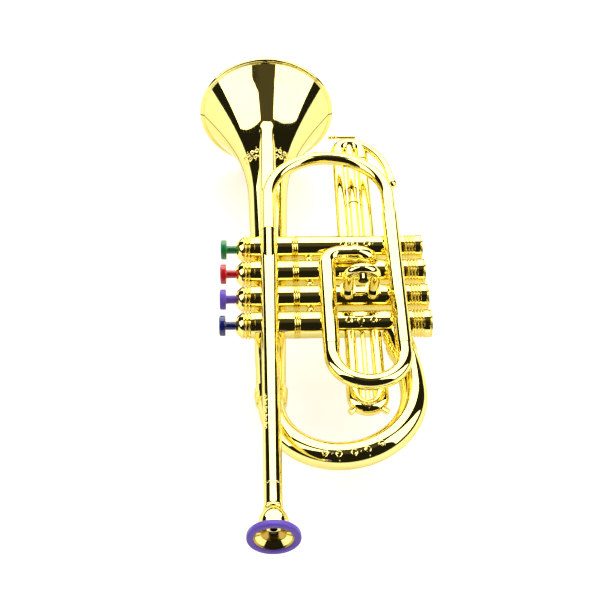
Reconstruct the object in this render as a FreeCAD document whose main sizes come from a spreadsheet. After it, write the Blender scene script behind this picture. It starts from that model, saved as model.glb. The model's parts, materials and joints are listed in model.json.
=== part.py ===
# Toy cornet with four spring-loaded keys, lying on its left side.
# +X runs from the keys to the bottom caps, +Y from the mouthpiece to the bell, +Z to the player's right.
# The origin is the middle of the footprint, at the level of the lowest point of the bell rim.
# Heights and side distances in the sheet are measured from the bell's own axis.
import FreeCAD, Part
import math
import os
import re

import Sketcher
from FreeCAD import Placement, Rotation, Vector

SIZES = {
    "Whole instrument": [
        ("total_length", 370.0, "bell rim to the face of the mouthpiece ring"),
        ("rim_radius", 47.5, "outside of the bell rim"),
    ],
    "Bell": [
        ("bell_wall", 1.5, "thickness of the two half shells"),
        ("rim_ring_depth", 2.6, "rim ring, along the bell axis"),
        ("rim_ring_width", 3.4, "rim ring, across its section"),
        ("lip_inset", 2.5, "outside of the shells where they meet the rim ring, inside the rim"),
        ("flare_depth_1", 16.8, "first station of the flare, behind the rim"),
        ("flare_radius_1", 36.1, "outside of the flare there"),
        ("flare_depth_2", 29.9, "second station"),
        ("flare_radius_2", 28.8, "outside of the flare there"),
        ("flare_depth_3", 49.0, "third station"),
        ("flare_radius_3", 20.4, "outside of the flare there"),
        ("throat_depth", 92.0, "where the flare becomes a straight cone"),
        ("throat_radius", 13.0, "outside of the cone there"),
        ("pipe_end_radius", 8.3, "outside of the bell pipe where the rear bow starts"),
        ("bow_joint_y", -81.5, "joint of the bell pipe and the rear bow"),
    ],
    "Rear bow": [
        ("bow_radius", 41.0, "centre line of the half turn"),
        ("bow_tube_radius", 7.8, "outside of the bow's tube"),
        ("bow_wall", 1.4, "wall of the bow's tube"),
        ("bow_return_radius", 135.0, "centre line of the part that leans back to the valves"),
        ("bow_return_angle", 19.2, "turn of that part, in degrees"),
        ("bow_tilt", 6.0, "lean of the bow towards the player's right, in degrees"),
        ("sleeve_length", 9.0, "sleeves and ferrules on the bow"),
        ("ferrule_overlap", 1.0, "how far the bow's ferrule runs into the curve of the casing"),
        ("sleeve_wall", 1.0, "how far they stand out"),
        ("band_groove", 0.5, "depth of the grooves between their bands"),
    ],
    "Leadpipe and mouthpiece": [
        ("lead_height", 18.6, "leadpipe axis above the bell axis"),
        ("lead_front_radius", 5.75, "outside, at the bell"),
        ("lead_rear_radius", 5.05, "outside, at the mouthpiece"),
        ("lead_bore_radius", 3.4, "bore"),
        ("lead_front_depth", 37.0, "front end of the leadpipe, behind the rim"),
        ("mouth_joint_depth", 33.7, "mouthpiece joint, from the ring's face"),
        ("shank_radius", 4.95, "mouthpiece shank"),
        ("spigot_length", 14.0, "part of the shank inside the leadpipe"),
        ("slide_clearance", 0.05, "radial clearance of what pulls out"),
        ("cup_depth", 15.0, "mouthpiece cup, from the ring to the shank's shoulder"),
        ("cup_radius", 8.2, "outside of the cup at the ring"),
        ("cup_wall", 1.5, "wall of the cup"),
        ("throat_bore_radius", 2.0, "bore of the mouthpiece shank"),
        ("ring_radius", 14.2, "outside of the mouthpiece ring"),
        ("ring_hole_radius", 10.5, "opening of the ring"),
        ("ring_thickness", 3.6, "ring, along the pipe"),
    ],
    "Valves": [
        ("valve_height", 9.5, "valve axes above the bell axis"),
        ("valve_pitch", 21.5, "distance between valves"),
        ("valve_front_y", 35.0, "valve nearest to the bell"),
        ("casing_radius", 8.15, "outside of a casing"),
        ("casing_wall", 1.5, "wall of a casing"),
        ("casing_top_x", -9.0, "joint of casing and top cap"),
        ("casing_bottom_x", 85.0, "joint of casing and bottom cap"),
        ("casing_core_x", 13.0, "end of the solid block that holds the two pipes"),
        ("bead_x", 15.0, "first of the thin rings round a casing"),
        ("bead_width", 0.6, "thin ring, along the casing"),
        ("bead_pitch", 1.1, "distance between thin rings"),
        ("bead_height", 0.45, "how far the thin rings stand out"),
        ("cap_length", 11.8, "top cap"),
        ("cap_band_length", 3.1, "top cap's band"),
        ("cap_neck_length", 3.7, "top cap's neck"),
        ("cap_band_radius", 8.6, "top cap's band"),
        ("cap_neck_radius", 7.2, "top cap's neck"),
        ("cap_dome_radius", 8.1, "top cap's dome at its foot"),
        ("cap_wall", 1.8, "top of the cap's dome"),
        ("chamber_radius", 5.3, "spring chamber in the top cap"),
        ("seat_height", 1.9, "boss of the casing that closes the spring chamber"),
        ("bottom_cap_length", 12.0, "bottom cap"),
        ("bottom_cap_radius", 8.6, "rings and block of the bottom cap"),
        ("bottom_neck_radius", 7.7, "bottom cap between the rings"),
        ("bottom_ring_width", 1.0, "ring of the bottom cap"),
        ("bottom_ring_pitch", 1.9, "distance between rings of the bottom cap"),
        ("bottom_spigot_length", 5.0, "part of the bottom cap inside the casing"),
        ("fixed_clearance", 0.02, "radial clearance of glued spigots"),
        ("reed_x", 34.0, "place of the reed plate in a casing"),
        ("reed_thickness", 2.4, "reed plate"),
        ("reed_slot_width", 2.2, "slot of the reed plate"),
        ("reed_slot_length", 8.0, "slot of the reed plate"),
    ],
    "Keys": [
        ("key_radius", 6.2, "key disc"),
        ("key_thickness", 3.7, "key disc"),
        ("key_edge", 0.8, "rounding of the key disc"),
        ("key_reach", 5.8, "stem that shows at rest"),
        ("key_travel", 4.2, "how far a key goes down"),
        ("stem_radius", 2.5, "key stem"),
        ("stem_clearance", 0.08, "radial clearance of the stem in its cap"),
        ("flange_radius", 4.9, "flange that stops the key in its cap"),
        ("flange_thickness", 1.4, "flange"),
        ("stop_gap", 0.1, "play at both stops"),
        ("pad_radius", 2.9, "soft pad on the stem's end"),
        ("pad_thickness", 1.0, "soft pad"),
        ("spring_radius", 3.9, "mean radius of the return spring"),
        ("spring_wire", 0.35, "radius of the spring wire"),
        ("spring_turns", 3.0, "turns of the return spring"),
    ],
    "Front bow and tuning slide": [
        ("bow_gap", 0.15, "air between the tuning slide and the casings"),
        ("front_tube_radius", 4.3, "front bow's tube"),
        ("front_bow_radius", 38.5, "centre line of the front bow"),
        ("front_bow_y", 68.5, "centre of the front bow's half turn"),
        ("front_leg_y", 38.0, "end of the front bow's leg on the leadpipe"),
        ("fairing_length", 27.0, "slope behind that leg, sinking into the leadpipe"),
        ("fairing_tilt", 7.6, "slope behind that leg, in degrees"),
        ("front_joint_y", 52.0, "joint of the front bow and the tuning slide"),
        ("outer_tube_radius", 5.0, "outer tubes of the tuning slide"),
        ("tuning_tube_radius", 4.7, "tuning crook"),
        ("tuning_radius", 21.0, "centre line of the tuning crook"),
        ("tuning_joint_y", -58.4, "joint of the crook and the outer tubes"),
        ("tuning_leg_length", 6.0, "straight part of the crook"),
        ("inner_tube_radius", 3.5, "inner tubes of the tuning slide"),
        ("inner_tube_length", 34.0, "how far they reach in"),
        ("inner_tube_depth", 38.0, "bore of the outer tubes"),
        ("tuning_spigot", 3.0, "how far the inner tubes go into the crook"),
        ("hook_y", 17.0, "straight part of the left tube over the valves"),
        ("hook_radius", 9.0, "bends of the left tube"),
        ("hook_reach", 19.0, "how far the left tube runs across before its elbow"),
        ("hook_ferrule_length", 3.2, "ferrule between the left tube and its elbow"),
        ("hook_ferrule_wall", 0.7, "ferrule between the left tube and its elbow"),
    ],
    "Valve slides": [
        ("slide_tube_radius", 3.5, "legs of the first and second slides"),
        ("slide_x", 47.3, "near leg of the first and second slides"),
        ("slide_spread", 15.2, "distance between their legs"),
        ("slide_crook_radius", 4.6, "crook of the first slide"),
        ("first_crook_y", -85.6, "centre of the first slide's half turn"),
        ("first_leg_end_y", -78.0, "joint of the first slide's legs and crook"),
        ("rod_radius", 1.5, "guide rod of the first slide"),
        ("nub_radius", 1.9, "nubs on the first slide's crook"),
        ("nub_length", 3.2, "nubs on the first slide's crook"),
        ("second_bend_height", 35.0, "centre of the second slide's half turn above the bell axis"),
        ("second_tilt", 12.0, "lean of the second slide towards the mouthpiece, in degrees"),
        ("second_band_start", 5.0, "collars at the feet of the second slide, from the casing's axis"),
        ("second_band_length", 6.2, "collars at the feet of the second slide"),
        ("second_band_wall", 1.4, "collars at the feet of the second slide"),
        ("knob_radius", 3.0, "pull knob of the second slide"),
        ("knob_length", 6.4, "pull knob of the second slide"),
        ("knob_drop", 1.2, "pull knob below the top of the loop"),
        ("knob_sink", 2.5, "how far the knob's foot is inside the loop's tube"),
        ("third_x", 48.0, "near leg of the third slide"),
        ("third_spread", 16.0, "distance between its legs"),
        ("third_tube_radius", 3.9, "legs of the third slide"),
        ("third_crook_radius", 4.5, "crook of the third slide"),
        ("third_crook_y", 128.5, "centre of the third slide's half turn"),
        ("third_leg_end_y", 119.0, "joint of the third slide's legs and crook"),
        ("third_rod_radius", 3.0, "banded rod between the legs"),
        ("third_band_front_y", 90.0, "front band of the rod"),
        ("third_band_rear_y", 76.0, "rear band of the rod"),
        ("third_band_length", 1.6, "bands of the rod"),
        ("brace_radius", 2.6, "brace from the third slide to the front bow"),
        ("brace_bend", 76.0, "centre line of the brace"),
        ("brace_turn", 42.0, "turn of the brace, in degrees"),
        ("brace_tilt", 27.0, "slope of the brace up to the front bow, in degrees"),
        ("brace_ball_radius", 3.8, "ball at the end of the brace"),
        ("brace_reach", 7.2, "ball beside the front bow's leg, across"),
        ("brace_drop", 3.3, "ball below the plane of the front bow"),
        ("brace_end_y", 84.5, "ball of the brace"),
        ("lever_radius", 1.1, "small lever on the third slide's crook"),
        ("lever_length", 17.0, "small lever"),
        ("lever_rise", 3.0, "small lever above the middle of the crook"),
        ("lever_ball_radius", 1.7, "first ball at the lever's end"),
        ("lever_ball_pitch", 2.9, "distance between the lever's two balls"),
        ("spacer_radius", 2.0, "spacers between the casings"),
        ("spacer_ball_radius", 2.9, "swelling of a spacer"),
        ("spacer_x", 25.0, "spacers between the casings"),
    ],
}

DERIVED = {
    "lip_radius": "rim_radius - lip_inset",
    "bell_x": "(rim_radius - casing_bottom_x - bottom_cap_length) / 2",
    "rim_y": "total_length / 2",
    "throat_y": "total_length / 2 - throat_depth",
    "mouth_y": "-total_length / 2",
    "lead_rear_y": "mouth_joint_depth - total_length / 2",
    "lead_front_y": "total_length / 2 - lead_front_depth",
    "valve_z": "rim_radius + valve_height",
    "lead_z": "rim_radius + lead_height",
    "plane_z": "valve_z + casing_radius + bow_gap + outer_tube_radius",
    "cap_top": "casing_top_x - cap_length",
    "chamber_top": "cap_top + cap_wall",
    "flange_top": "chamber_top + stop_gap",
    "flange_end": "flange_top + flange_thickness",
    "seat_x": "casing_top_x - seat_height",
    "pad_end": "seat_x - stop_gap - key_travel",
    "stem_end": "pad_end - pad_thickness",
    "key_disc_end": "cap_top - key_reach",
    "key_top": "key_disc_end - key_thickness",
    "tuning_right_x": "front_bow_radius * 2",
    "tuning_left_x": "front_bow_radius * 2 - tuning_radius * 2",
    "tuning_bow_y": "tuning_joint_y - tuning_leg_length",
    "casing_bore_radius": "casing_radius - casing_wall",
}

KEY_COLOURS = ("green", "red", "purple", "blue")
ALONG_Y = Rotation(Vector(1, 0, 0), -90)
ALONG_Z = Rotation()
ALONG_X = Rotation(Vector(0, 1, 0), 90)

doc = FreeCAD.newDocument("ToyCornet")
sheet = doc.addObject("Spreadsheet::Sheet", "Sizes")
pieces = {}


def fill_sheet():
    """Write every driving size into the sheet, one row each, with its name as the alias."""
    row = 1
    for group, entries in SIZES.items():
        sheet.set(f"A{row}", group)
        row += 1
        for alias, number, meaning in entries:
            sheet.set(f"A{row}", meaning)
            sheet.set(f"B{row}", str(number))
            sheet.setAlias(f"B{row}", alias)
            row += 1
    doc.recompute()


ALIASES = {alias for entries in SIZES.values() for alias, _, _ in entries}


def expand(text, prefix=""):
    """Replace each derived name by its formula, and put the prefix before each size."""

    def swap(match):
        word = match.group(0)
        if word in DERIVED:
            return f"({expand(DERIVED[word], prefix)})"
        return prefix + word if word in ALIASES else word

    return re.sub(r"[a-z_][a-z_0-9]*", swap, str(text))


def size(text):
    """The number that a formula of sizes gives now."""
    return float(sheet.evalExpression(expand(text)))


def bind(thing, prop, text):
    """Tie a property to a formula of sizes."""
    thing.setExpression(prop, expand(text, "Sizes."))


def put(thing, x="0", y="0", z="0", turn=None):
    """Place a thing, turned first, at a point given by formulas."""
    thing.Placement = Placement(Vector(size(x), size(y), size(z)), turn or Rotation())
    for axis, text in zip("xyz", (x, y, z)):
        bind(thing, f"Placement.Base.{axis}", text)
    return thing


def keep(label, thing):
    """Name a finished piece, which is exported under that name."""
    thing.Label = label
    pieces[label] = thing
    return thing


def new_sketch(body, name, role):
    """A sketch on one of the body's own origin planes."""
    sketch = body.newObject("Sketcher::SketchObject", name)
    plane = next(o for o in body.Origin.OriginFeatures if o.Role == role)
    sketch.AttachmentSupport = (plane, [""])
    sketch.MapMode = "FlatFace"
    return sketch


def fix_point(sketch, geometry, position, x, y):
    """Hold a point at formulas of sizes. None leaves a coordinate free, and "0" puts it on the axis."""
    for kind, axis, text in (("DistanceX", -2, x), ("DistanceY", -1, y)):
        if text is None:
            continue
        if text == "0":
            sketch.addConstraint(Sketcher.Constraint("PointOnObject", geometry, position, axis))
            continue
        row = sketch.addConstraint(Sketcher.Constraint(kind, -1, 1, geometry, position, size(text)))
        sketch.setExpression(f"Constraints[{row}]", expand(text, "Sizes."))


def arc_centre(start, end, centre):
    """The centre of an arc with one given coordinate, which is as far from its start as from its end."""
    (x0, y0), (x1, y1) = start, end
    half = (x1**2 + y1**2 - x0**2 - y0**2) / 2
    if centre[0] is None:
        return (half - size(centre[1]) * (y1 - y0)) / (x1 - x0), size(centre[1])
    return size(centre[0]), (half - size(centre[0]) * (x1 - x0)) / (y1 - y0)


def draw(sketch, start, moves):
    """Draw lines and arcs from the start. A move is (x, y) or (x, y, centre, "ccw" or "cw").

    An outline that ends at its start is closed. Each corner is held at its formulas.
    """
    here = (size(start[0]), size(start[1]))
    closed = tuple(moves[-1][:2]) == tuple(start)
    ends = []
    for number, move in enumerate(moves):
        there = (size(move[0]), size(move[1]))
        if len(move) == 2:
            sketch.addGeometry(Part.LineSegment(Vector(*here, 0), Vector(*there, 0)))
            ends.append((1, 2))
        else:
            middle = arc_centre(here, there, move[2])
            circle = Part.Circle(Vector(*middle, 0), Vector(0, 0, 1), math.dist(here, middle))
            angles = [math.atan2(p[1] - middle[1], p[0] - middle[0]) for p in (here, there)]
            if move[3] == "cw":
                angles.reverse()
            if angles[1] <= angles[0]:
                angles[1] += 2 * math.pi
            sketch.addGeometry(Part.ArcOfCircle(circle, *angles))
            ends.append((1, 2) if move[3] == "ccw" else (2, 1))
        here = there
    for number, move in enumerate(moves):
        if number:
            sketch.addConstraint(
                Sketcher.Constraint("Coincident", number - 1, ends[number - 1][1], number, ends[number][0])
            )
        fix_point(sketch, number, ends[number][1], move[0], move[1])
        if len(move) == 4:
            fix_point(sketch, number, 3, *move[2])
    if closed:
        last = len(moves) - 1
        sketch.addConstraint(Sketcher.Constraint("Coincident", last, ends[last][1], 0, ends[0][0]))
    else:
        fix_point(sketch, 0, ends[0][0], *start)


def turned(name, start, moves, axis="H_Axis"):
    """A body turned from a closed outline about one axis of its sketch."""
    body = doc.addObject("PartDesign::Body", name)
    outline = new_sketch(body, f"{name}_outline", "XY_Plane")
    draw(outline, start, moves)
    turn = body.newObject("PartDesign::Revolution", f"{name}_turn")
    turn.Profile = outline
    turn.ReferenceAxis = (outline, [axis])
    turn.Angle = 360
    return body


def bent_tube(name, moves, outside, inside=None):
    """A body swept along lines and arcs that start at its origin along Y, solid or with a bore."""
    body = doc.addObject("PartDesign::Body", name)
    path = new_sketch(body, f"{name}_path", "XY_Plane")
    draw(path, ("0", "0"), moves)
    section = new_sketch(body, f"{name}_section", "XZ_Plane")
    for number, radius in enumerate(r for r in (outside, inside) if r):
        section.addGeometry(Part.Circle(Vector(), Vector(0, 0, 1), size(radius)))
        section.addConstraint(Sketcher.Constraint("Coincident", number, 3, -1, 1))
        row = section.addConstraint(Sketcher.Constraint("Radius", number, size(radius)))
        section.setExpression(f"Constraints[{row}]", expand(radius, "Sizes."))
    pipe = body.newObject("PartDesign::AdditivePipe", f"{name}_pipe")
    pipe.Profile = section
    pipe.Spine = (path, [])
    return body


def rod(name, radius, length, x, y, z, turn):
    """A plain round bar from a point, along X, Y or Z."""
    bar = doc.addObject("Part::Cylinder", name)
    bind(bar, "Radius", radius)
    bind(bar, "Height", length)
    return put(bar, x, y, z, turn)


def cone(name, first, last, length, x, y, z, turn):
    """A round bar whose radius changes evenly."""
    bar = doc.addObject("Part::Cone", name)
    bind(bar, "Radius1", first)
    bind(bar, "Radius2", last)
    bind(bar, "Height", length)
    return put(bar, x, y, z, turn)


def ball(name, radius, x, y, z):
    """A ball at a point."""
    sphere = doc.addObject("Part::Sphere", name)
    bind(sphere, "Radius", radius)
    return put(sphere, x, y, z)


def cut(name, base, *tools):
    """Take the tools out of the base, one after the other."""
    for number, tool in enumerate(tools):
        result = doc.addObject("Part::Cut", f"{name}_cut_{number + 1}")
        result.Base = base
        result.Tool = tool
        base = result
    return base


def group(name, shapes, kind="Part::MultiFuse"):
    """Several shapes as one piece."""
    joined = doc.addObject(kind, name)
    if kind == "Part::MultiFuse":
        joined.Shapes = shapes
    else:
        joined.Links = shapes
    return joined


def ringed_outline(start_x, end_x, low, high, first, pitch, width, count, bore):
    """The outline of a ring with thin bands standing out of it, as a start and its moves."""
    moves = [(start_x, low)]
    for number in range(count):
        near = f"{first} + {number} * ({pitch})"
        moves += [(near, low), (near, high), (f"{near} + {width}", high), (f"{near} + {width}", low)]
    moves += [(end_x, low), (end_x, bore), (start_x, bore)]
    return (start_x, bore), moves


# Bell ------------------------------------------------------------------------------------------


def flare_curve():
    """The outside of the flare, from the throat to the lip, as one smooth curve in the XY plane."""
    rim = size("rim_y")
    slope = (size("throat_radius") - size("pipe_end_radius")) / (size("throat_y") - size("bow_joint_y"))
    stations = [Vector(size("throat_radius"), size("throat_y"), 0)]
    for number in (3, 2, 1):
        stations.append(Vector(size(f"flare_radius_{number}"), rim - size(f"flare_depth_{number}"), 0))
    stations.append(Vector(size("lip_radius"), rim - size("rim_ring_depth"), 0))
    curve = Part.BSplineCurve()
    lip = stations[-1] - stations[-2]
    curve.interpolate(Points=stations, InitialTangent=Vector(slope, 1, 0), FinalTangent=lip, Scale=True)
    return curve


def inner_curve(curve):
    """The inside of the flare: the outside moved in by the wall, square to the surface."""
    points = []
    count = 12
    for number in range(count + 1):
        along = curve.FirstParameter + (curve.LastParameter - curve.FirstParameter) * number / count
        tangent = curve.tangent(along)[0]
        point = curve.value(along) + Vector(-tangent.y, tangent.x, 0).normalize() * size("bell_wall")
        points.append(point)
    inside = Part.BSplineCurve()
    inside.interpolate(Points=points)
    return inside


def bell_wire(curve, inside):
    """The closed outline of the bell: its wall, or the solid form when there is no inner curve."""
    outer_end = Vector(size("pipe_end_radius"), size("bow_joint_y"), 0)
    corners = [curve.value(curve.LastParameter)]
    edges = [Part.LineSegment(outer_end, curve.value(curve.FirstParameter)).toShape(), curve.toShape()]
    if inside:
        wall = size("bell_wall")
        corners += [inside.value(inside.LastParameter)]
        edges.append(Part.LineSegment(*corners).toShape())
        edges.append(inside.toShape())
        low = Vector(outer_end.x - wall, outer_end.y, 0)
        edges.append(Part.LineSegment(inside.value(inside.FirstParameter), low).toShape())
        edges.append(Part.LineSegment(low, outer_end).toShape())
    else:
        ends = [corners[0], Vector(0, corners[0].y, 0), Vector(0, outer_end.y, 0), outer_end]
        for first, last in zip(ends, ends[1:]):
            edges.append(Part.LineSegment(first, last).toShape())
    return Part.Wire(Part.__sortEdges__(edges))


def build_bell():
    """Two half shells that meet along the bell's sides, and the ring that clasps their edge."""
    outside = flare_curve()
    wall = Part.Face(bell_wire(outside, inner_curve(outside)))
    solid = Part.Face(bell_wire(outside, None))
    spot = Placement(Vector(size("bell_x"), 0, size("rim_radius")), Rotation())
    for label, angle in (("bell_right_half", -180), ("bell_left_half", 180)):
        half = doc.addObject("Part::Feature", label)
        half.Shape = wall.revolve(Vector(), Vector(0, 1, 0), angle)
        half.Placement = spot
        keep(label, half)
    form = doc.addObject("Part::Feature", "bell_form")
    form.Shape = solid.revolve(Vector(), Vector(0, 1, 0), 360)
    form.Placement = spot

    # Its rounded outer edge runs from the flat front face to the back.
    rear = "rim_y - rim_ring_depth"
    inner = "rim_radius - rim_ring_width"
    edge = "rim_radius - rim_ring_depth / 2"
    ring = turned(
        "bell_rim_ring",
        (inner, rear),
        [
            (edge, rear),
            (edge, "rim_y", (edge, None), "ccw"),
            (inner, "rim_y"),
            (inner, rear),
        ],
        axis="V_Axis",
    )
    put(ring, "bell_x", "0", "rim_radius")
    keep("bell_rim_ring", cut("bell_rim_ring", ring, pieces["bell_right_half"], pieces["bell_left_half"]))
    return form


# Rear bow --------------------------------------------------------------------------------------


def build_rear_bow(casing_tool):
    """The wide bow that carries the bell pipe round to the last valve, with its sleeve and ferrule."""
    lean = Rotation(Vector(0, 1, 0), -size("bow_tilt"))
    top_x = "bow_radius * 2 - bow_return_radius * (1 - cos(bow_return_angle * 1deg))"
    top_y = "bow_return_radius * sin(bow_return_angle * 1deg)"
    bow = bent_tube(
        "rear_bow_tube",
        [
            ("bow_radius * 2", "0", (None, "0"), "ccw"),
            (top_x, top_y, (None, "0"), "ccw"),
        ],
        "bow_tube_radius",
        "bow_tube_radius - bow_wall",
    )
    put(bow, "bell_x", "bow_joint_y", "rim_radius", lean)
    keep("bell_bow", cut("bell_bow", bow, casing_tool))

    # The sleeve covers the joint of pipe and bow.
    half = "sleeve_length / 2"
    wide = "pipe_end_radius + sleeve_wall"
    sleeve = turned(
        "bell_bow_sleeve",
        ("pipe_end_radius", "0"),
        [(wide, "0"), (wide, half), (f"{wide} + band_groove", half), (f"{wide} + band_groove", "sleeve_length")]
        + [("pipe_end_radius + band_groove * 2", "sleeve_length"), ("pipe_end_radius", "0")],
        axis="V_Axis",
    )
    put(sleeve, "bell_x", "bow_joint_y", "rim_radius")
    pipe = cone(
        "pipe_at_sleeve",
        "pipe_end_radius",
        "throat_radius",
        "throat_y - bow_joint_y",
        "bell_x",
        "bow_joint_y",
        "rim_radius",
        ALONG_Y,
    )
    keep("bell_bow_sleeve", cut("bell_bow_sleeve", sleeve, pipe))

    # The three-banded ferrule sits on the bow's end, in line with it.
    start, moves = ringed_outline(
        "0", "sleeve_length", "bow_tube_radius + sleeve_wall - band_groove", "bow_tube_radius + sleeve_wall",
        "sleeve_length / 9", "sleeve_length / 3", "sleeve_length / 6", 3, "bow_tube_radius - bow_wall / 2",
    )
    ferrule = turned("rear_bow_ferrule", start, moves)
    radius = size("bow_return_radius")
    back = size("casing_radius + sleeve_length / 2 - ferrule_overlap") / radius
    angle = math.radians(size("bow_return_angle")) - back
    direction = lean.multVec(Vector(-math.sin(angle), math.cos(angle), 0))
    middle = lean.multVec(Vector(size("bow_radius * 2") - radius + radius * math.cos(angle), radius * math.sin(angle), 0))
    joint = Vector(size("bell_x"), size("bow_joint_y"), size("rim_radius"))
    spot = joint + middle - direction * size("sleeve_length / 2")
    ferrule.Placement = Placement(spot, Rotation(Vector(1, 0, 0), direction))
    keep("bell_bow_ferrule", cut("bell_bow_ferrule", ferrule, bow, casing_tool))


# Leadpipe and mouthpiece -----------------------------------------------------------------------


def lead_cone(name):
    """The outer form of the leadpipe, also the tool that seats other pieces on it."""
    length = "lead_front_y - lead_rear_y"
    return cone(
        name, "lead_rear_radius", "lead_front_radius", length, "bell_x", "lead_rear_y", "lead_z", ALONG_Y
    )


def build_leadpipe(bell_form):
    """The tapered pipe on top of the bell pipe. Its front end dies into the flare."""
    bore = rod(
        "lead_bore", "lead_bore_radius", "throat_y - lead_rear_y", "bell_x", "lead_rear_y", "lead_z", ALONG_Y
    )
    keep("leadpipe", cut("leadpipe", lead_cone("lead_form"), bore, bell_form))


def build_mouthpiece():
    """Cup and shank in one turning, with a coloured ring glued on, pushed into the leadpipe."""
    face = "mouth_y + ring_thickness"
    shoulder = f"{face} + cup_depth"
    spigot = "lead_bore_radius - slide_clearance"
    top = "lead_rear_y + spigot_length"
    cup = turned(
        "mouthpiece_cup",
        ("throat_bore_radius", top),
        [
            (spigot, top),
            (spigot, "lead_rear_y"),
            ("shank_radius", "lead_rear_y"),
            ("shank_radius", shoulder),
            ("cup_radius", face, (None, face), "cw"),
            ("cup_radius - cup_wall", face),
            ("throat_bore_radius", f"{face} + cup_depth * 0.75", (None, face), "ccw"),
            ("throat_bore_radius", top),
        ],
        axis="V_Axis",
    )
    keep("mouthpiece_cup", put(cup, "bell_x", "0", "lead_z"))

    # The ring's bowl narrows to the cup behind it.
    ring_edge = "ring_radius - ring_thickness / 2"
    middle = "(ring_radius + ring_hole_radius) / 2"
    ring = turned(
        "mouthpiece_ring",
        ("cup_radius - cup_wall", face),
        [
            (ring_edge, face),
            (ring_edge, "mouth_y", (ring_edge, None), "cw"),
            (middle, "mouth_y"),
            ("ring_hole_radius", "mouth_y + ring_thickness / 4"),
            ("cup_radius - cup_wall", face),
        ],
        axis="V_Axis",
    )
    keep("mouthpiece_ring", put(ring, "bell_x", "0", "lead_z"))


# Valves ----------------------------------------------------------------------------------------


def valve_y(number):
    """The place of a valve, counted from the bell."""
    return f"valve_front_y - valve_pitch * {number}"


def casing_form(number, radius="casing_radius", name="casing_form"):
    """The outer cylinder of a casing, the tool that seats the slides on it."""
    length = "casing_bottom_x - casing_top_x"
    return rod(
        f"{name}_{number + 1}", radius, length, "bell_x + casing_top_x", valve_y(number), "valve_z", ALONG_X
    )


def build_casings(pipe_tool, lead_tool):
    """Casings: a solid block holds the two pipes, and the rest is a tube closed by the bottom cap."""
    for number in range(len(KEY_COLOURS)):
        label = f"valve_casing_{number + 1}"
        boss = "chamber_radius - fixed_clearance"
        moves = [("seat_x", boss), ("casing_top_x", boss), ("casing_top_x", "casing_radius")]
        for bead in range(3):
            near = f"bead_x + bead_pitch * {bead}"
            high = "casing_radius + bead_height"
            moves += [(near, "casing_radius"), (near, high)]
            moves += [(f"{near} + bead_width", high), (f"{near} + bead_width", "casing_radius")]
        moves += [
            ("casing_bottom_x", "casing_radius"),
            ("casing_bottom_x", "casing_bore_radius"),
            ("casing_core_x", "casing_bore_radius"),
            ("casing_core_x", "0"),
            ("seat_x", "0"),
        ]
        casing = turned(f"{label}_turning", ("seat_x", "0"), moves)
        put(casing, "bell_x", valve_y(number), "valve_z")
        keep(label, cut(label, casing, pipe_tool, lead_tool))


def build_caps(pipe_tool):
    """Domed top caps with a waisted neck, and banded bottom caps with a spigot."""
    dome_end = "cap_top + cap_length - cap_band_length - cap_neck_length"
    neck_end = "casing_top_x - cap_band_length"
    hole = "stem_radius + stem_clearance"
    ring_start = "casing_bottom_x + bottom_ring_pitch / 2"
    for number in range(len(KEY_COLOURS)):
        top = turned(
            f"top_cap_{number + 1}",
            ("cap_top", hole),
            [
                (dome_end, "cap_dome_radius", (None, "0"), "cw"),
                (f"{dome_end} + cap_neck_length / 4", "cap_neck_radius"),
                (neck_end, "cap_neck_radius"),
                (neck_end, "cap_band_radius"),
                ("casing_top_x", "cap_band_radius"),
                ("casing_top_x", "chamber_radius"),
                ("chamber_top", "chamber_radius"),
                ("chamber_top", hole),
                ("cap_top", hole),
            ],
        )
        put(top, "bell_x", valve_y(number), "valve_z")
        keep(f"top_cap_{number + 1}", cut(f"top_cap_{number + 1}", top, pipe_tool))

        block = "casing_bottom_x + bottom_ring_pitch * 3.5"
        end = "casing_bottom_x + bottom_cap_length"
        spigot = "casing_bore_radius - fixed_clearance"
        moves = [("casing_bottom_x", "bottom_neck_radius")]
        for ring in range(3):
            near = f"{ring_start} + bottom_ring_pitch * {ring}"
            moves += [(near, "bottom_neck_radius"), (near, "bottom_cap_radius")]
            moves += [(f"{near} + bottom_ring_width", "bottom_cap_radius")]
            moves += [(f"{near} + bottom_ring_width", "bottom_neck_radius")]
        moves += [
            (block, "bottom_neck_radius"),
            (block, "bottom_cap_radius"),
            (f"{end} - 1", "bottom_cap_radius"),
            (end, "bottom_cap_radius - 1.6"),
            (end, "0"),
            ("casing_bottom_x - bottom_spigot_length", "0"),
            ("casing_bottom_x - bottom_spigot_length", spigot),
            ("casing_bottom_x", spigot),
            ("casing_bottom_x", "bottom_neck_radius"),
        ]
        moves = moves[1:]
        bottom = turned(f"bottom_cap_{number + 1}", ("casing_bottom_x", "bottom_neck_radius"), moves)
        keep(f"bottom_cap_{number + 1}", put(bottom, "bell_x", valve_y(number), "valve_z"))


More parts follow.
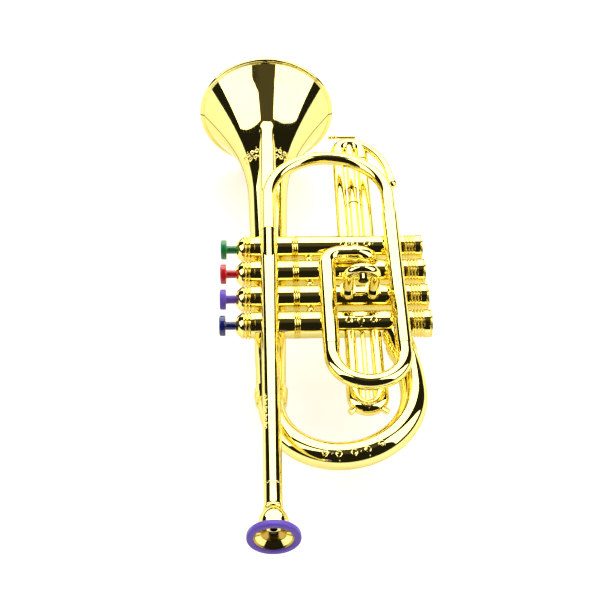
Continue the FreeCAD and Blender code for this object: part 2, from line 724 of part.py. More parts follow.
def build_keys():
    """Each key is one moulding: disc, stem and stop flange, with a soft pad and a return spring."""
    for number, colour in enumerate(KEY_COLOURS):
        key = turned(
            f"key_{colour}",
            ("key_top", "0"),
            [
                ("key_top", "key_radius - key_edge"),
                ("key_top + key_edge", "key_radius", (None, "key_radius - key_edge"), "cw"),
                ("key_disc_end", "key_radius"),
                ("key_disc_end", "stem_radius"),
                ("flange_top", "stem_radius"),
                ("flange_top", "flange_radius"),
                ("flange_end", "flange_radius"),
                ("flange_end", "stem_radius"),
                ("stem_end", "stem_radius"),
                ("stem_end", "0"),
                ("key_top", "0"),
            ],
        )
        keep(f"key_{colour}", put(key, "bell_x", valve_y(number), "valve_z"))
        pad = rod(
            f"key_pad_{colour}", "pad_radius", "pad_thickness", "bell_x + stem_end", valve_y(number), "valve_z", ALONG_X
        )
        keep(f"key_pad_{colour}", pad)

        height = "seat_x - flange_end - spring_wire * 2 - stop_gap * 2"
        helix = doc.addObject("Part::Helix", f"spring_line_{colour}")
        bind(helix, "Radius", "spring_radius")
        bind(helix, "Height", height)
        bind(helix, "Pitch", f"({height}) / spring_turns")
        wire = doc.addObject("Part::RegularPolygon", f"spring_wire_{colour}")
        wire.Polygon = 6
        bind(wire, "Circumradius", "spring_wire")
        put(wire, "spring_radius", "0", "0", Rotation(Vector(1, 0, 0), 90))
        coil = doc.addObject("Part::Sweep", f"key_spring_{colour}")
        coil.Sections = [wire]
        coil.Spine = (helix, ["Edge1"])
        coil.Solid = True
        coil.Frenet = True
        keep(f"key_spring_{colour}", put(
            coil, "bell_x + flange_end + spring_wire + stop_gap", valve_y(number), "valve_z", ALONG_X
        ))


def build_reeds():
    """A reed plate across each casing: a round plate with the slot that its tongue beats through."""
    for number in range(len(KEY_COLOURS)):
        plate = rod(
            f"reed_disc_{number + 1}", "casing_bore_radius - fixed_clearance", "reed_thickness",
            "bell_x + reed_x", valve_y(number), "valve_z", ALONG_X,
        )
        slot = doc.addObject("Part::Box", f"reed_slot_{number + 1}")
        bind(slot, "Length", "reed_thickness * 2")
        bind(slot, "Width", "reed_slot_width")
        bind(slot, "Height", "reed_slot_length")
        put(
            slot, "bell_x + reed_x - reed_thickness / 2", f"{valve_y(number)} - reed_slot_width / 2",
            "valve_z - reed_slot_length / 2",
        )
        keep(f"reed_plate_{number + 1}", cut(f"reed_plate_{number + 1}", plate, slot))


def build_spacers(tools):
    """Short round spacers between neighbouring casings, all in one piece name."""
    bars = []
    for number in range(len(KEY_COLOURS) - 1):
        bar = rod(
            f"spacer_bar_{number + 1}", "spacer_radius", "valve_pitch", "bell_x + spacer_x",
            valve_y(number + 1), "valve_z", ALONG_Y,
        )
        swelling = ball(
            f"spacer_ball_{number + 1}", "spacer_ball_radius", "bell_x + spacer_x",
            f"{valve_y(number + 1)} + valve_pitch / 2", "valve_z",
        )
        bars.append(group(f"spacer_{number + 1}", [bar, swelling]))
    shapes = [
        cut(f"spacer_{number + 1}", bar, tools[number], tools[number + 1]) for number, bar in enumerate(bars)
    ]
    keep("casing_spacers", group("casing_spacers", shapes, "Part::Compound"))


# Front bow and tuning slide --------------------------------------------------------------------


def build_front_bow(lead_tool):
    """The bow that leaves the leadpipe and turns back to the tuning slide."""
    rise = "front_bow_y - front_leg_y"
    bow = bent_tube(
        "front_bow_tube",
        [
            ("0", rise),
            ("front_bow_radius * 2", rise, (None, rise), "cw"),
            ("front_bow_radius * 2", "front_joint_y - front_leg_y"),
        ],
        "front_tube_radius",
    )
    put(bow, "bell_x", "front_leg_y", "plane_z")
    fairing = rod(
        "front_bow_fairing", "front_tube_radius", "fairing_length", "bell_x", "front_leg_y", "plane_z",
        Rotation(Vector(1, 0, 0), 90 + size("fairing_tilt")),
    )
    whole = group("front_bow_whole", [bow, fairing])
    keep("front_bow", cut("front_bow", whole, lead_tool))


def build_tuning_slide(casing_tools):
    """Outer tubes fixed over the valves, and the crook with its two inner tubes that pulls back."""
    right = rod(
        "tuning_right_form", "outer_tube_radius", "front_joint_y - tuning_joint_y", "bell_x + tuning_right_x",
        "tuning_joint_y", "plane_z", ALONG_Y,
    )
    right_bore = rod(
        "tuning_right_bore", "inner_tube_radius + slide_clearance", "inner_tube_depth", "bell_x + tuning_right_x",
        "tuning_joint_y", "plane_z", ALONG_Y,
    )
    keep("tuning_outer_tube_right", cut("tuning_outer_tube_right", right, right_bore))

    rise = "hook_y - hook_radius - tuning_joint_y"
    left = bent_tube(
        "tuning_left_form",
        [
            ("0", rise),
            ("hook_radius", f"{rise} + hook_radius", ("hook_radius", None), "cw"),
            ("hook_reach", f"{rise} + hook_radius"),
        ],
        "outer_tube_radius",
    )
    put(left, "bell_x + tuning_left_x", "tuning_joint_y", "plane_z")
    left_bore = rod(
        "tuning_left_bore", "inner_tube_radius + slide_clearance", "inner_tube_depth", "bell_x + tuning_left_x",
        "tuning_joint_y", "plane_z", ALONG_Y,
    )
    keep("tuning_outer_tube_left", cut("tuning_outer_tube_left", left, left_bore))

    # The elbow turns down into the second casing. Its own Y axis lies along the cross tube.
    elbow = bent_tube(
        "tuning_elbow_form",
        [("hook_radius", "hook_radius", ("hook_radius", None), "cw")],
        "outer_tube_radius",
    )
    put(
        elbow, "bell_x + tuning_left_x + hook_reach", "hook_y", "plane_z",
        Rotation(Vector(0, 0, -1), Vector(1, 0, 0), Vector(0, -1, 0), "XYZ"),
    )
    keep("tuning_elbow", cut("tuning_elbow", elbow, casing_tools[1], casing_tools[0]))
    ferrule = rod(
        "hook_ferrule_form", "outer_tube_radius + hook_ferrule_wall", "hook_ferrule_length",
        "bell_x + tuning_left_x + hook_reach - hook_ferrule_length", "hook_y", "plane_z", ALONG_X,
    )
    keep("tuning_hook_ferrule", cut("tuning_hook_ferrule", ferrule, left, elbow, casing_tools[0], casing_tools[1]))

    crook = bent_tube(
        "tuning_crook_form",
        [
            ("0", "-tuning_leg_length"),
            ("tuning_radius * 2", "-tuning_leg_length", (None, "-tuning_leg_length"), "ccw"),
            ("tuning_radius * 2", "0"),
        ],
        "tuning_tube_radius",
    )
    put(crook, "bell_x + tuning_left_x", "tuning_joint_y", "plane_z")
    sockets = []
    for side in ("left", "right"):
        sockets.append(rod(
            f"crook_socket_{side}", "inner_tube_radius", "tuning_spigot * 2", f"bell_x + tuning_{side}_x",
            "tuning_joint_y - tuning_spigot", "plane_z", ALONG_Y,
        ))
    keep("tuning_crook", cut("tuning_crook", crook, *sockets))
    for side in ("left", "right"):
        tube = rod(
            f"tuning_inner_tube_{side}", "inner_tube_radius", "inner_tube_length + tuning_spigot",
            f"bell_x + tuning_{side}_x", "tuning_joint_y - tuning_spigot", "plane_z", ALONG_Y,
        )
        keep(f"tuning_inner_tube_{side}", tube)


# Valve slides ----------------------------------------------------------------------------------


def build_first_slide(casing_tool):
    """The slide of the rearmost valve: two legs, a fatter crook with two nubs, and a guide rod."""
    legs = []
    for name, x in (("near", "slide_x"), ("far", "slide_x + slide_spread")):
        legs.append(rod(
            f"first_leg_{name}", "slide_tube_radius", f"{valve_y(3)} - first_leg_end_y", f"bell_x + {x}",
            "first_leg_end_y", "valve_z", ALONG_Y,
        ))
    shapes = [cut(f"first_leg_{number}", leg, casing_tool) for number, leg in enumerate(legs)]
    keep("first_slide_legs", group("first_slide_legs", shapes, "Part::Compound"))

    straight = "first_crook_y - first_leg_end_y"
    crook = bent_tube(
        "first_slide_crook",
        [
            ("0", straight),
            ("slide_spread", straight, (None, straight), "ccw"),
            ("slide_spread", "0"),
        ],
        "slide_crook_radius",
    )
    keep("first_slide_crook", put(crook, "bell_x + slide_x", "first_leg_end_y", "valve_z"))

    # The nubs point out of the crook's corners, halfway round each quarter.
    nubs = []
    for name, side in (("near", -1), ("far", 1)):
        lean = Vector(side * math.sin(math.radians(45)), -math.cos(math.radians(45)), 0)
        nub = doc.addObject("Part::Cylinder", f"nub_{name}")
        bind(nub, "Radius", "nub_radius")
        bind(nub, "Height", "nub_length + slide_crook_radius")
        out = "slide_spread / 2 * sin(45)"
        sign = "+" if side > 0 else "-"
        put(
            nub, f"bell_x + slide_x + slide_spread / 2 {sign} {out}", f"first_crook_y - {out}", "valve_z",
            Rotation(Vector(0, 0, 1), lean),
        )
        nubs.append(cut(f"nub_{name}", nub, crook))
    keep("first_slide_nubs", group("first_slide_nubs", nubs, "Part::Compound"))

    guide = rod(
        "first_rod_form", "rod_radius", f"{valve_y(3)} - first_crook_y + slide_spread / 2",
        "bell_x + slide_x + slide_spread / 2", "first_crook_y - slide_spread / 2", "valve_z", ALONG_Y,
    )
    keep("first_slide_rod", cut("first_slide_rod", guide, casing_tool, crook))


def build_second_slide(casing_tool):
    """The slide of the third casing: a leaning loop, with collars at its feet and a pull knob."""
    rise = "second_bend_height - valve_height"
    lean = size("second_tilt")
    stand_up = Rotation(Vector(1, 0, 0), 90 + lean)
    loop = bent_tube(
        "second_loop_form",
        [
            ("0", rise),
            ("slide_spread", rise, (None, rise), "cw"),
            ("slide_spread", "0"),
        ],
        "slide_tube_radius",
    )
    put(loop, "bell_x + slide_x", valve_y(2), "valve_z", stand_up)
    keep("second_slide_loop", cut("second_slide_loop", loop, casing_tool))

    def up_the_lean(distance, forward="0"):
        """The Y and Z of a point of the leaning loop."""
        sine, cosine = "sin(second_tilt * 1deg)", "cos(second_tilt * 1deg)"
        return (
            f"{valve_y(2)} - ({distance}) * {sine} - ({forward}) * {cosine}",
            f"valve_z + ({distance}) * {cosine} - ({forward}) * {sine}",
        )

    bands = []
    for name, x in (("near", "slide_x"), ("far", "slide_x + slide_spread")):
        band = rod(
            f"second_band_{name}", "slide_tube_radius + second_band_wall", "second_band_length", f"bell_x + {x}",
            *up_the_lean("second_band_start"), Rotation(Vector(1, 0, 0), lean),
        )
        bands.append(cut(f"second_band_{name}", band, loop, casing_tool))
    keep("second_slide_bands", group("second_slide_bands", bands, "Part::Compound"))

    knob = turned(
        "second_knob_form",
        ("0", "0"),
        [
            ("0", "knob_radius / 2"),
            ("knob_length / 2", "knob_radius / 2"),
            ("knob_length / 2", "knob_radius"),
            ("knob_length", "knob_radius"),
            ("knob_length", "0"),
            ("0", "0"),
        ],
    )
    put(
        knob, "bell_x + slide_x + slide_spread / 2",
        *up_the_lean(f"{rise} + slide_spread / 2 - knob_drop", "slide_tube_radius - knob_sink"),
        Rotation(Vector(1, 0, 0), lean) * Rotation(Vector(0, 0, 1), -90),
    )
    keep("second_slide_knob", cut("second_slide_knob", knob, loop))


def build_third_slide(casing_tool, front_bow):
    """The slide that runs forward from the first casing, with its banded rod, brace and lever."""
    legs = []
    for name, x in (("near", "third_x"), ("far", "third_x + third_spread")):
        legs.append(rod(
            f"third_leg_{name}", "third_tube_radius", "third_leg_end_y - valve_front_y", f"bell_x + {x}",
            "valve_front_y", "valve_z", ALONG_Y,
        ))
    shapes = [cut(f"third_leg_{number}", leg, casing_tool) for number, leg in enumerate(legs)]
    keep("third_slide_legs", group("third_slide_legs", shapes, "Part::Compound"))

    straight = "third_crook_y - third_leg_end_y"
    crook = bent_tube(
        "third_slide_crook",
        [
            ("0", straight),
            ("third_spread", straight, (None, straight), "cw"),
            ("third_spread", "0"),
        ],
        "third_crook_radius",
    )
    keep("third_slide_crook", put(crook, "bell_x + third_x", "third_leg_end_y", "valve_z"))

    middle = "bell_x + third_x + third_spread / 2"
    start, moves = ringed_outline(
        "valve_front_y", "third_crook_y + third_spread / 2", "third_rod_radius", "third_rod_radius + band_groove",
        "third_band_rear_y", "third_band_front_y - third_band_rear_y", "third_band_length", 2, "0",
    )
    banded = turned("third_rod_form", start, moves)
    put(banded, middle, "0", "valve_z", Rotation(Vector(0, 0, 1), 90))
    keep("third_slide_rod", cut("third_slide_rod", banded, casing_tool, crook))

    # The brace is one arc. It ends straight back at its ball, against the side of the front bow.
    sweep = "brace_turn * 1deg"
    brace = bent_tube(
        "brace_arc",
        [(f"brace_bend * (cos({sweep}) - 1)", f"brace_bend * sin({sweep})", ("-brace_bend", None), "ccw")],
        "brace_radius",
    )
    side = "front_bow_radius + sqrt(front_bow_radius * front_bow_radius - pow(brace_end_y - front_bow_y; 2))"
    spot = (f"bell_x + {side} + brace_reach", "brace_end_y", "plane_z - brace_drop")
    put(brace, *spot, Rotation(Vector(0, 1, 0), -size("brace_tilt")))
    tip = ball("brace_ball", "brace_ball_radius", *spot)
    whole = group("brace_whole", [brace, tip])
    keep("third_slide_brace", cut("third_slide_brace", whole, crook, front_bow))

    reach = "sqrt(lever_ball_radius * lever_ball_radius - lever_radius * lever_radius)"
    lever = turned(
        "lever_form",
        ("-lever_ball_radius", "0"),
        [
            (reach, "lever_radius", (None, "0"), "cw"),
            (f"lever_ball_pitch - {reach}", "lever_radius"),
            (f"lever_ball_pitch + {reach}", "lever_radius", (None, "0"), "cw"),
            ("lever_length", "lever_radius"),
            ("lever_length", "0"),
            ("-lever_ball_radius", "0"),
        ],
    )
    put(
        lever, "bell_x + third_x - third_crook_radius", "third_crook_y + third_spread / 2 + third_crook_radius",
        "valve_z + lever_rise",
    )
    keep("third_slide_lever", cut("third_slide_lever", lever, crook))


# Build, check and export -----------------------------------------------------------------------


def main():
    """Build every piece, check the document, then write one STEP file for each piece."""
    fill_sheet()
    bell_form = build_bell()
    forms = [casing_form(number) for number in range(len(KEY_COLOURS))]
    pipe_tool = cone(
        "pipe_form", "pipe_end_radius", "throat_radius", "throat_y - bow_joint_y", "bell_x", "bow_joint_y",
        "rim_radius", ALONG_Y,
    )
    lead_tool = lead_cone("lead_tool")
    build_rear_bow(forms[3])
    build_leadpipe(bell_form)
    build_mouthpiece()
    build_casings(pipe_tool, lead_tool)
    build_caps(pipe_tool)
    build_keys()
    build_reeds()
    build_spacers(forms)
    build_front_bow(lead_tool)
    build_tuning_slide(forms)
    build_first_slide(forms[3])
    build_second_slide(forms[2])
    build_third_slide(forms[0], pieces["front_bow"])
    doc.recompute()

    for thing in doc.Objects:
        if {"Invalid", "Error"} & set(thing.State):
            raise RuntimeError(f"{thing.Label} failed: {thing.State}")
    for label, thing in pieces.items():
        if thing.Shape.isNull() or not thing.Shape.isValid() or not thing.Shape.Solids:
            raise RuntimeError(f"{label} is not a valid solid")
    os.makedirs("parts", exist_ok=True)
    for label, thing in pieces.items():
        thing.Shape.exportStep(os.path.join("parts", f"{label}.step"))
        print(label, len(thing.Shape.Solids), round(thing.Shape.Volume, 1))
    print(len(pieces), "pieces")


main()
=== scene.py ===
"""The looks of a toy cornet of gold-metallised plastic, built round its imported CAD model.

Each sub-assembly is a class. Its sizes are in millimetres, in the instrument's own axes: +X from the keys to
the bottom caps, +Y from the mouthpiece to the bell, +Z up. Side distances are measured from the bell's axis.
"""
import json
import logging
import math
from dataclasses import dataclass, field, replace
from enum import Enum
from typing import Any, Callable, Iterable, Optional, Sequence

import bmesh
import bpy
import numpy as np
from bpy.types import Material, Mesh, Node, NodeSocket, Object
from mathutils import Matrix, Vector

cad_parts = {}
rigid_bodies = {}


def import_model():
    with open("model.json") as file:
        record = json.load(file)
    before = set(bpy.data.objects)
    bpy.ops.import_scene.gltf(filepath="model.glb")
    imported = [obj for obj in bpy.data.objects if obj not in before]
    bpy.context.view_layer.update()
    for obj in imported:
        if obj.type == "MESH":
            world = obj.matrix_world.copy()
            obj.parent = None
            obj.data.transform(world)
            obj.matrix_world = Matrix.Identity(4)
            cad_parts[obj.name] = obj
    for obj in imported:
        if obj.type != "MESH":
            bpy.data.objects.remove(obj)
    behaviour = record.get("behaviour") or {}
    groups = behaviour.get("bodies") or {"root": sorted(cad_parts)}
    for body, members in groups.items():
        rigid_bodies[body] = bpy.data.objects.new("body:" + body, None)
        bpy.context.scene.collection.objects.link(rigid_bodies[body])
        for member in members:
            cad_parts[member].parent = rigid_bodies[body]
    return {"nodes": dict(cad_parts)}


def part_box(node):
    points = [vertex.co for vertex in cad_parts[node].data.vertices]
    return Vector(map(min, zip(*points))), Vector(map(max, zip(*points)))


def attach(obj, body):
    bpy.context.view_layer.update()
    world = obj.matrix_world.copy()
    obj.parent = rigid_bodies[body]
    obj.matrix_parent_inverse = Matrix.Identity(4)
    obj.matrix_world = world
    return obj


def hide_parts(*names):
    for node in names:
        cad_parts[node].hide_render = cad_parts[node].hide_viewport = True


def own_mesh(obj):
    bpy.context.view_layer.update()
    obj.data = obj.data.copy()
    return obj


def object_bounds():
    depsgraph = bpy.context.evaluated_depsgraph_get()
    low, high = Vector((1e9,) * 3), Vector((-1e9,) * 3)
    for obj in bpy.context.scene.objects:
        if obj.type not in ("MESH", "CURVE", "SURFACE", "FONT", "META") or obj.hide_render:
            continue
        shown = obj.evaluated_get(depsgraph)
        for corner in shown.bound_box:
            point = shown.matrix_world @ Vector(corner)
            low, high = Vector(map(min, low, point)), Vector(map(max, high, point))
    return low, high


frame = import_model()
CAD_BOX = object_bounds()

MM = 0.001
SMOOTH_ANGLE = math.radians(32)
ROOT = "instrument"
# Corners nearer than this are one, in metres, and a point nearer to the axis lies on it, in millimetres.
WELD = 1e-7
ON_AXIS = 1e-6
# A Mix node's first colour input, and its colour output.
MIX_COLOURS, MIX_RESULT = 6, 2
# A corner of an outline is rounded from this turn on, over at most this share of the sides that meet there.
EASED_FROM = math.radians(25)
EASED_SHARE = 0.45

log = logging.getLogger("cornet")

Pair = tuple[float, float]
Triple = tuple[float, float, float]


class Slot(Enum):
    """The finishes of the record."""

    GOLD = "gold_plastic"
    GREEN = "green_plastic"
    RED = "red_plastic"
    PURPLE = "purple_plastic"
    BLUE = "blue_plastic"
    STEEL = "spring_steel"
    RUBBER = "pad_rubber"
    REED = "reed_brass"


# Materials -------------------------------------------------------------------------------------


class NodeTree:
    """A thin wrapper that adds nodes and links to a material or world."""

    def __init__(self, tree: bpy.types.NodeTree) -> None:
        """Start from an empty tree."""
        self.tree = tree
        tree.nodes.clear()

    def add(self, kind: str, settings: Optional[dict] = None, **inputs: object) -> Node:
        """Add a node.

        Args:
            kind: The node's type.
            settings: Properties of the node itself.
            inputs: Values for its sockets, or sockets to link, by name with _ for a space.

        Returns:
            The new node.
        """
        node = self.tree.nodes.new(kind)
        for key, value in (settings or {}).items():
            setattr(node, key, value)
        for key, value in inputs.items():
            socket = node.inputs[key.replace("_", " ")]
            if isinstance(value, NodeSocket):
                self.tree.links.new(value, socket)
            else:
                socket.default_value = value
        return node

    def link(self, out: NodeSocket, into: NodeSocket) -> None:
        """Join two sockets."""
        self.tree.links.new(out, into)

    def fill(self, node: Node, *values: Any, first: int = 0) -> Node:
        """Set a node's sockets in order.

        Args:
            node: The node.
            values: A value, or a socket to link, for each.
            first: The index of the first one.

        Returns:
            The same node.
        """
        for index, value in enumerate(values, first):
            if isinstance(value, NodeSocket):
                self.link(value, node.inputs[index])
            else:
                node.inputs[index].default_value = value
        return node

    def maths(self, operation: str, *values: Any) -> NodeSocket:
        """Work out a number from sockets and numbers."""
        return self.fill(self.add("ShaderNodeMath", {"operation": operation}), *values).outputs["Value"]

    def mix(self, factor: Any, *colours: Any) -> NodeSocket:
        """Mix two colours.

        Args:
            factor: The socket of the second colour's share.
            colours: Two, each a triple or a socket.

        Returns:
            The socket of the mixed colour.
        """
        node = self.add("ShaderNodeMix", {"data_type": "RGBA"}, Factor=factor)
        ends = [(*colour, 1) if isinstance(colour, tuple) else colour for colour in colours]
        return self.fill(node, *ends, first=MIX_COLOURS).outputs[MIX_RESULT]


# Painted shadow of the seam groove where two moulded halves meet, drawn as a thin dark line: its height and
# half width in metres, and its colour.
SEAM_HEIGHT = 0.0475
SEAM_HALF_WIDTH = 0.00042
SEAM_SHADOW_COLOUR = (0.045, 0.032, 0.008)


@dataclass(frozen=True)
class Finish:
    """A moulded finish. Its wear and waviness follow the piece's own coordinates, in metres."""

    slot: Slot
    colour: Triple
    shade: Triple
    metallic: float = 0.0
    roughness: Pair = (0.05, 0.08)
    coat: float = 1.0
    coat_roughness: float = 0.03
    ripple_size: float = 90.0
    ripple: float = 0.05
    ripple_depth: float = 0.002
    grain_size: float = 1800.0
    grain: float = 0.0
    grain_depth: float = 0.0002
    edge: Triple = (1.0, 1.0, 1.0)
    specular: float = 0.5
    # Whether the finish carries the painted shadow line along the seam.
    seam: bool = False

    def paint_seam_shadow(self, nodes: NodeTree, place: Any, colour: Any) -> Any:
        """Paint the shadow of the seam groove where two moulded halves meet, as a thin dark line level with
        the bell's axis.

        Args:
            nodes: The material's nodes.
            place: The socket of the piece's own coordinates.
            colour: The socket of the plain colour.

        Returns:
            The socket of the colour with its painted shadow line.
        """
        height = nodes.add("ShaderNodeSeparateXYZ", Vector=place).outputs["Z"]
        return nodes.mix(nodes.maths("COMPARE", height, SEAM_HEIGHT, SEAM_HALF_WIDTH), colour, SEAM_SHADOW_COLOUR)

    def material(self) -> Material:
        """Build the material.

        Returns:
            A node material with colour, roughness and relief of its own.
        """
        made = bpy.data.materials.new(self.slot.value)
        made.use_nodes = True
        nodes = NodeTree(made.node_tree)
        place = nodes.add("ShaderNodeTexCoord").outputs["Object"]
        broad, fine = (
            nodes.add("ShaderNodeTexNoise", Vector=place, Scale=size, Detail=detail, Roughness=falloff)
            for size, detail, falloff in ((self.ripple_size, 2.0, 0.5), (self.grain_size, 3.0, 0.6))
        )
        blend = nodes.add("ShaderNodeMapRange", Value=broad.outputs["Fac"], From_Min=0.35, From_Max=0.65)
        tone = nodes.mix(blend.outputs["Result"], self.colour, self.shade)
        rough = nodes.add(
            "ShaderNodeMapRange", Value=fine.outputs["Fac"], From_Min=0.3, From_Max=0.7,
            To_Min=self.roughness[0], To_Max=self.roughness[1],
        )
        waves = nodes.add(
            "ShaderNodeBump", Height=broad.outputs["Fac"], Strength=self.ripple, Distance=self.ripple_depth
        )
        relief = nodes.add(
            "ShaderNodeBump", Height=fine.outputs["Fac"], Strength=self.grain, Distance=self.grain_depth,
            Normal=waves.outputs["Normal"],
        )
        # Painted shadow along the seam groove.
        if self.seam:
            tone = self.paint_seam_shadow(nodes, place, tone)
        shader = nodes.add(
            "ShaderNodeBsdfPrincipled", Base_Color=tone, Roughness=rough.outputs["Result"],
            Metallic=self.metallic, Normal=relief.outputs["Normal"], Coat_Weight=self.coat,
            Coat_Roughness=self.coat_roughness, Specular_Tint=(*self.edge, 1),
            Specular_IOR_Level=self.specular,
        )
        nodes.add("ShaderNodeOutputMaterial", Surface=shader.outputs["BSDF"])
        return made


FINISHES = (
    Finish(
        Slot.GOLD, (1.0, 0.87, 0.30), (1.0, 0.85, 0.27), 1.0, (0.03, 0.05), 0.35, 0.02, 60.0, 0.02,
        edge=(1.0, 0.90, 0.50),
    ),
    *(
        Finish(slot, colour, shade, roughness=(0.22, 0.3), grain=0.05, specular=0.3)
        for slot, colour, shade in (
            (Slot.GREEN, (0.007, 0.24, 0.065), (0.005, 0.20, 0.05)),
            (Slot.RED, (0.60, 0.006, 0.014), (0.53, 0.004, 0.011)),
            (Slot.BLUE, (0.006, 0.012, 0.155), (0.005, 0.009, 0.125)),
        )
    ),
    Finish(
        Slot.PURPLE, (0.160, 0.086, 0.52), (0.142, 0.075, 0.465), roughness=(0.26, 0.34), coat=0.1,
        grain=0.05, specular=0.2,
    ),
    Finish(Slot.STEEL, (0.55, 0.55, 0.56), (0.48, 0.48, 0.50), 1.0, (0.25, 0.35), 0.0, grain=0.1),
    Finish(
        Slot.RUBBER, (0.03, 0.03, 0.03), (0.022, 0.022, 0.022), roughness=(0.6, 0.75), coat=0.0, grain=0.2,
    ),
    Finish(Slot.REED, (0.72, 0.50, 0.20), (0.66, 0.45, 0.17), 1.0, (0.28, 0.4), 0.0, grain=0.15),
)


class Workshop:
    """Keeps the materials, and hands each finished piece to its body."""

    def __init__(self) -> None:
        """Build every finish once."""
        self.materials = {finish.slot: finish.material() for finish in FINISHES}
        gold = next(finish for finish in FINISHES if finish.slot is Slot.GOLD)
        # A copy of the gold with the painted shadow line along the seam.
        self.seam_shadow_gold = replace(gold, seam=True).material()
        # A rougher copy of the gold for the mouthpiece's bowl; its darker colour is painted shade inside the
        # cup.
        self.bowl_shade_gold = replace(
            gold, colour=(0.62, 0.40, 0.06), shade=(0.42, 0.26, 0.03), roughness=(0.13, 0.2), coat=0.2,
            ripple_size=260.0,
        ).material()

    def dress(self, thing: Object, slot: Slot, finish: Optional[Material] = None) -> None:
        """Give a thing its only material: its slot's own, or another of that slot."""
        thing.data.materials.clear()
        thing.data.materials.append(finish or self.materials[slot])

    def seat(
        self, thing: Object, slot: Slot, body: str = ROOT, stands_for: Iterable[str] = (),
        finish: Optional[Material] = None,
    ) -> None:
        """Finish a piece and make it ride on its body.

        Args:
            thing: The piece, in place.
            slot: Its finish.
            body: The CAD body that carries it.
            stands_for: The CAD nodes that it replaces.
            finish: A material of that slot other than its own.
        """
        self.dress(thing, slot, finish)
        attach(thing, body)
        nodes = list(stands_for)
        if nodes:
            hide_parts(*nodes)
        log.info("%s: %d faces on %s", thing.name, len(thing.data.polygons), body)

    def keep(self, node: str, slot: Slot) -> None:
        """Leave a CAD node in view, with its finish."""
        self.dress(frame["nodes"][node], slot)
        log.info("%s stays as it is", node)


# Meshes ----------------------------------------------------------------------------------------


@dataclass(frozen=True)
class Datum:
    """Places that the whole instrument shares, in millimetres."""

    bell_x: float
    axis_z: float
    rim_y: float

    @classmethod
    def from_frame(cls) -> "Datum":
        """Read the places from the rim ring.

        Returns:
            The places, to a hundredth of a millimetre.
        """
        low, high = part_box("bell_rim_ring")
        places = (low.x + high.x) / 2, (low.z + high.z) / 2, high.y
        return cls(*(round(place / MM, 2) for place in places))

    def at(self, across: float, along: float, above: float) -> Vector:
        """A point from its distances to the bell's axis and its place along it, in millimetres."""
        return Vector((self.bell_x + across, along, self.axis_z + above))


PLACE = Datum.from_frame()
X_AXIS, Y_AXIS, Z_AXIS = Vector((1, 0, 0)), Vector((0, 1, 0)), Vector((0, 0, 1))


def new_object(name: str, mesh: Mesh) -> Object:
    """Link a mesh into the scene.

    Args:
        name: The object's name, which the mesh takes too.
        mesh: The mesh, in place.

    Returns:
        The new object.
    """
    mesh.name = name
    thing = bpy.data.objects.new(name, mesh)
    bpy.context.scene.collection.objects.link(thing)
    return thing


def finish_mesh(mesh: Mesh, turn_out: bool = True) -> Mesh:
    """Weld a mesh, turn its faces outwards and shade it smooth with crisp edges.

    Args:
        mesh: The mesh, changed in place.
        turn_out: Whether the normals are worked out afresh.

    Returns:
        The same mesh.
    """
    work = bmesh.new()
    work.from_mesh(mesh)
    bmesh.ops.remove_doubles(work, verts=work.verts, dist=WELD)
    if turn_out:
        bmesh.ops.recalc_face_normals(work, faces=work.faces)
    for face in work.faces:
        face.smooth = True
    work.to_mesh(mesh)
    work.free()
    mesh.set_sharp_from_angle(angle=SMOOTH_ANGLE)
    return mesh


def smooth_curve(stations: Sequence[Pair], first: Pair, last: Pair, per_span: int = 14) -> list[Pair]:
    """The smooth cubic through a row of stations, leaving and arriving in given directions.

    Args:
        stations: Points of the curve.
        first: Direction at the first station.
        last: Direction at the last station.
        per_span: Points made between two stations.

    Returns:
        Points of the curve, the stations among them.
    """
    p = np.array(stations, float)
    h = np.linalg.norm(np.diff(p, axis=0), axis=1)
    n = len(p)
    a, b = np.eye(n), np.zeros((n, 2))
    b[0] = np.array(first) / np.linalg.norm(first)
    b[-1] = np.array(last) / np.linalg.norm(last)
    for i in range(1, n - 1):
        a[i, i - 1], a[i, i], a[i, i + 1] = 1 / h[i - 1], 2 / h[i - 1] + 2 / h[i], 1 / h[i]
        b[i] = 3 * ((p[i] - p[i - 1]) / h[i - 1] ** 2 + (p[i + 1] - p[i]) / h[i] ** 2)
    m = np.linalg.solve(a, b)
    points = []
    for i in range(n - 1):
        for step in range(per_span):
            t = step / per_span
            points.append(
                (2 * t**3 - 3 * t**2 + 1) * p[i] + (t**3 - 2 * t**2 + t) * h[i] * m[i]
                + (3 * t**2 - 2 * t**3) * p[i + 1] + (t**3 - t**2) * h[i] * m[i + 1]
            )
    points.append(p[-1])
    return [(float(x), float(y)) for x, y in points]


def offset_curve(points: Sequence[Pair], distance: float) -> list[Pair]:
    """Move a row of (along, radius) points square to itself.

    Args:
        points: The row.
        distance: How far, towards the axis where it is positive.

    Returns:
        The moved row.
    """
    p = np.array(points, float)
    t = np.gradient(p, axis=0)
    t /= np.linalg.norm(t, axis=1)[:, None]
    moved = p + distance * np.stack([t[:, 1], -t[:, 0]], 1)
    return [(float(x), float(y)) for x, y in moved]


def eased(outline: Sequence[Pair], radius: float, steps: int = 4) -> list[Pair]:
    """Round the corners of a closed outline of (along, radius) points.

    Args:
        outline: The corners. Those on the axis stay as they are.
        radius: How far the rounding reaches from a corner, in millimetres.
        steps: Points on each rounding.

    Returns:
        The rounded outline.
    """
    made = []
    count = len(outline)
    for i, corner in enumerate(outline):
        before, here, after = (Vector(outline[(i + k) % count]) for k in (-1, 0, 1))
        back, on = before - here, after - here
        blunt = min(back.length, on.length) < ON_AXIS or back.angle(-on, 0) < EASED_FROM
        if here.y < ON_AXIS or blunt:
            made.append(tuple(corner))
            continue
        reach = min(radius, EASED_SHARE * back.length, EASED_SHARE * on.length)
        start, end = here + back.normalized() * reach, here + on.normalized() * reach
        for step in range(steps + 1):
            t = step / steps
            point = start * (1 - t) ** 2 + here * 2 * t * (1 - t) + end * t**2
            made.append((point.x, point.y))
    return made


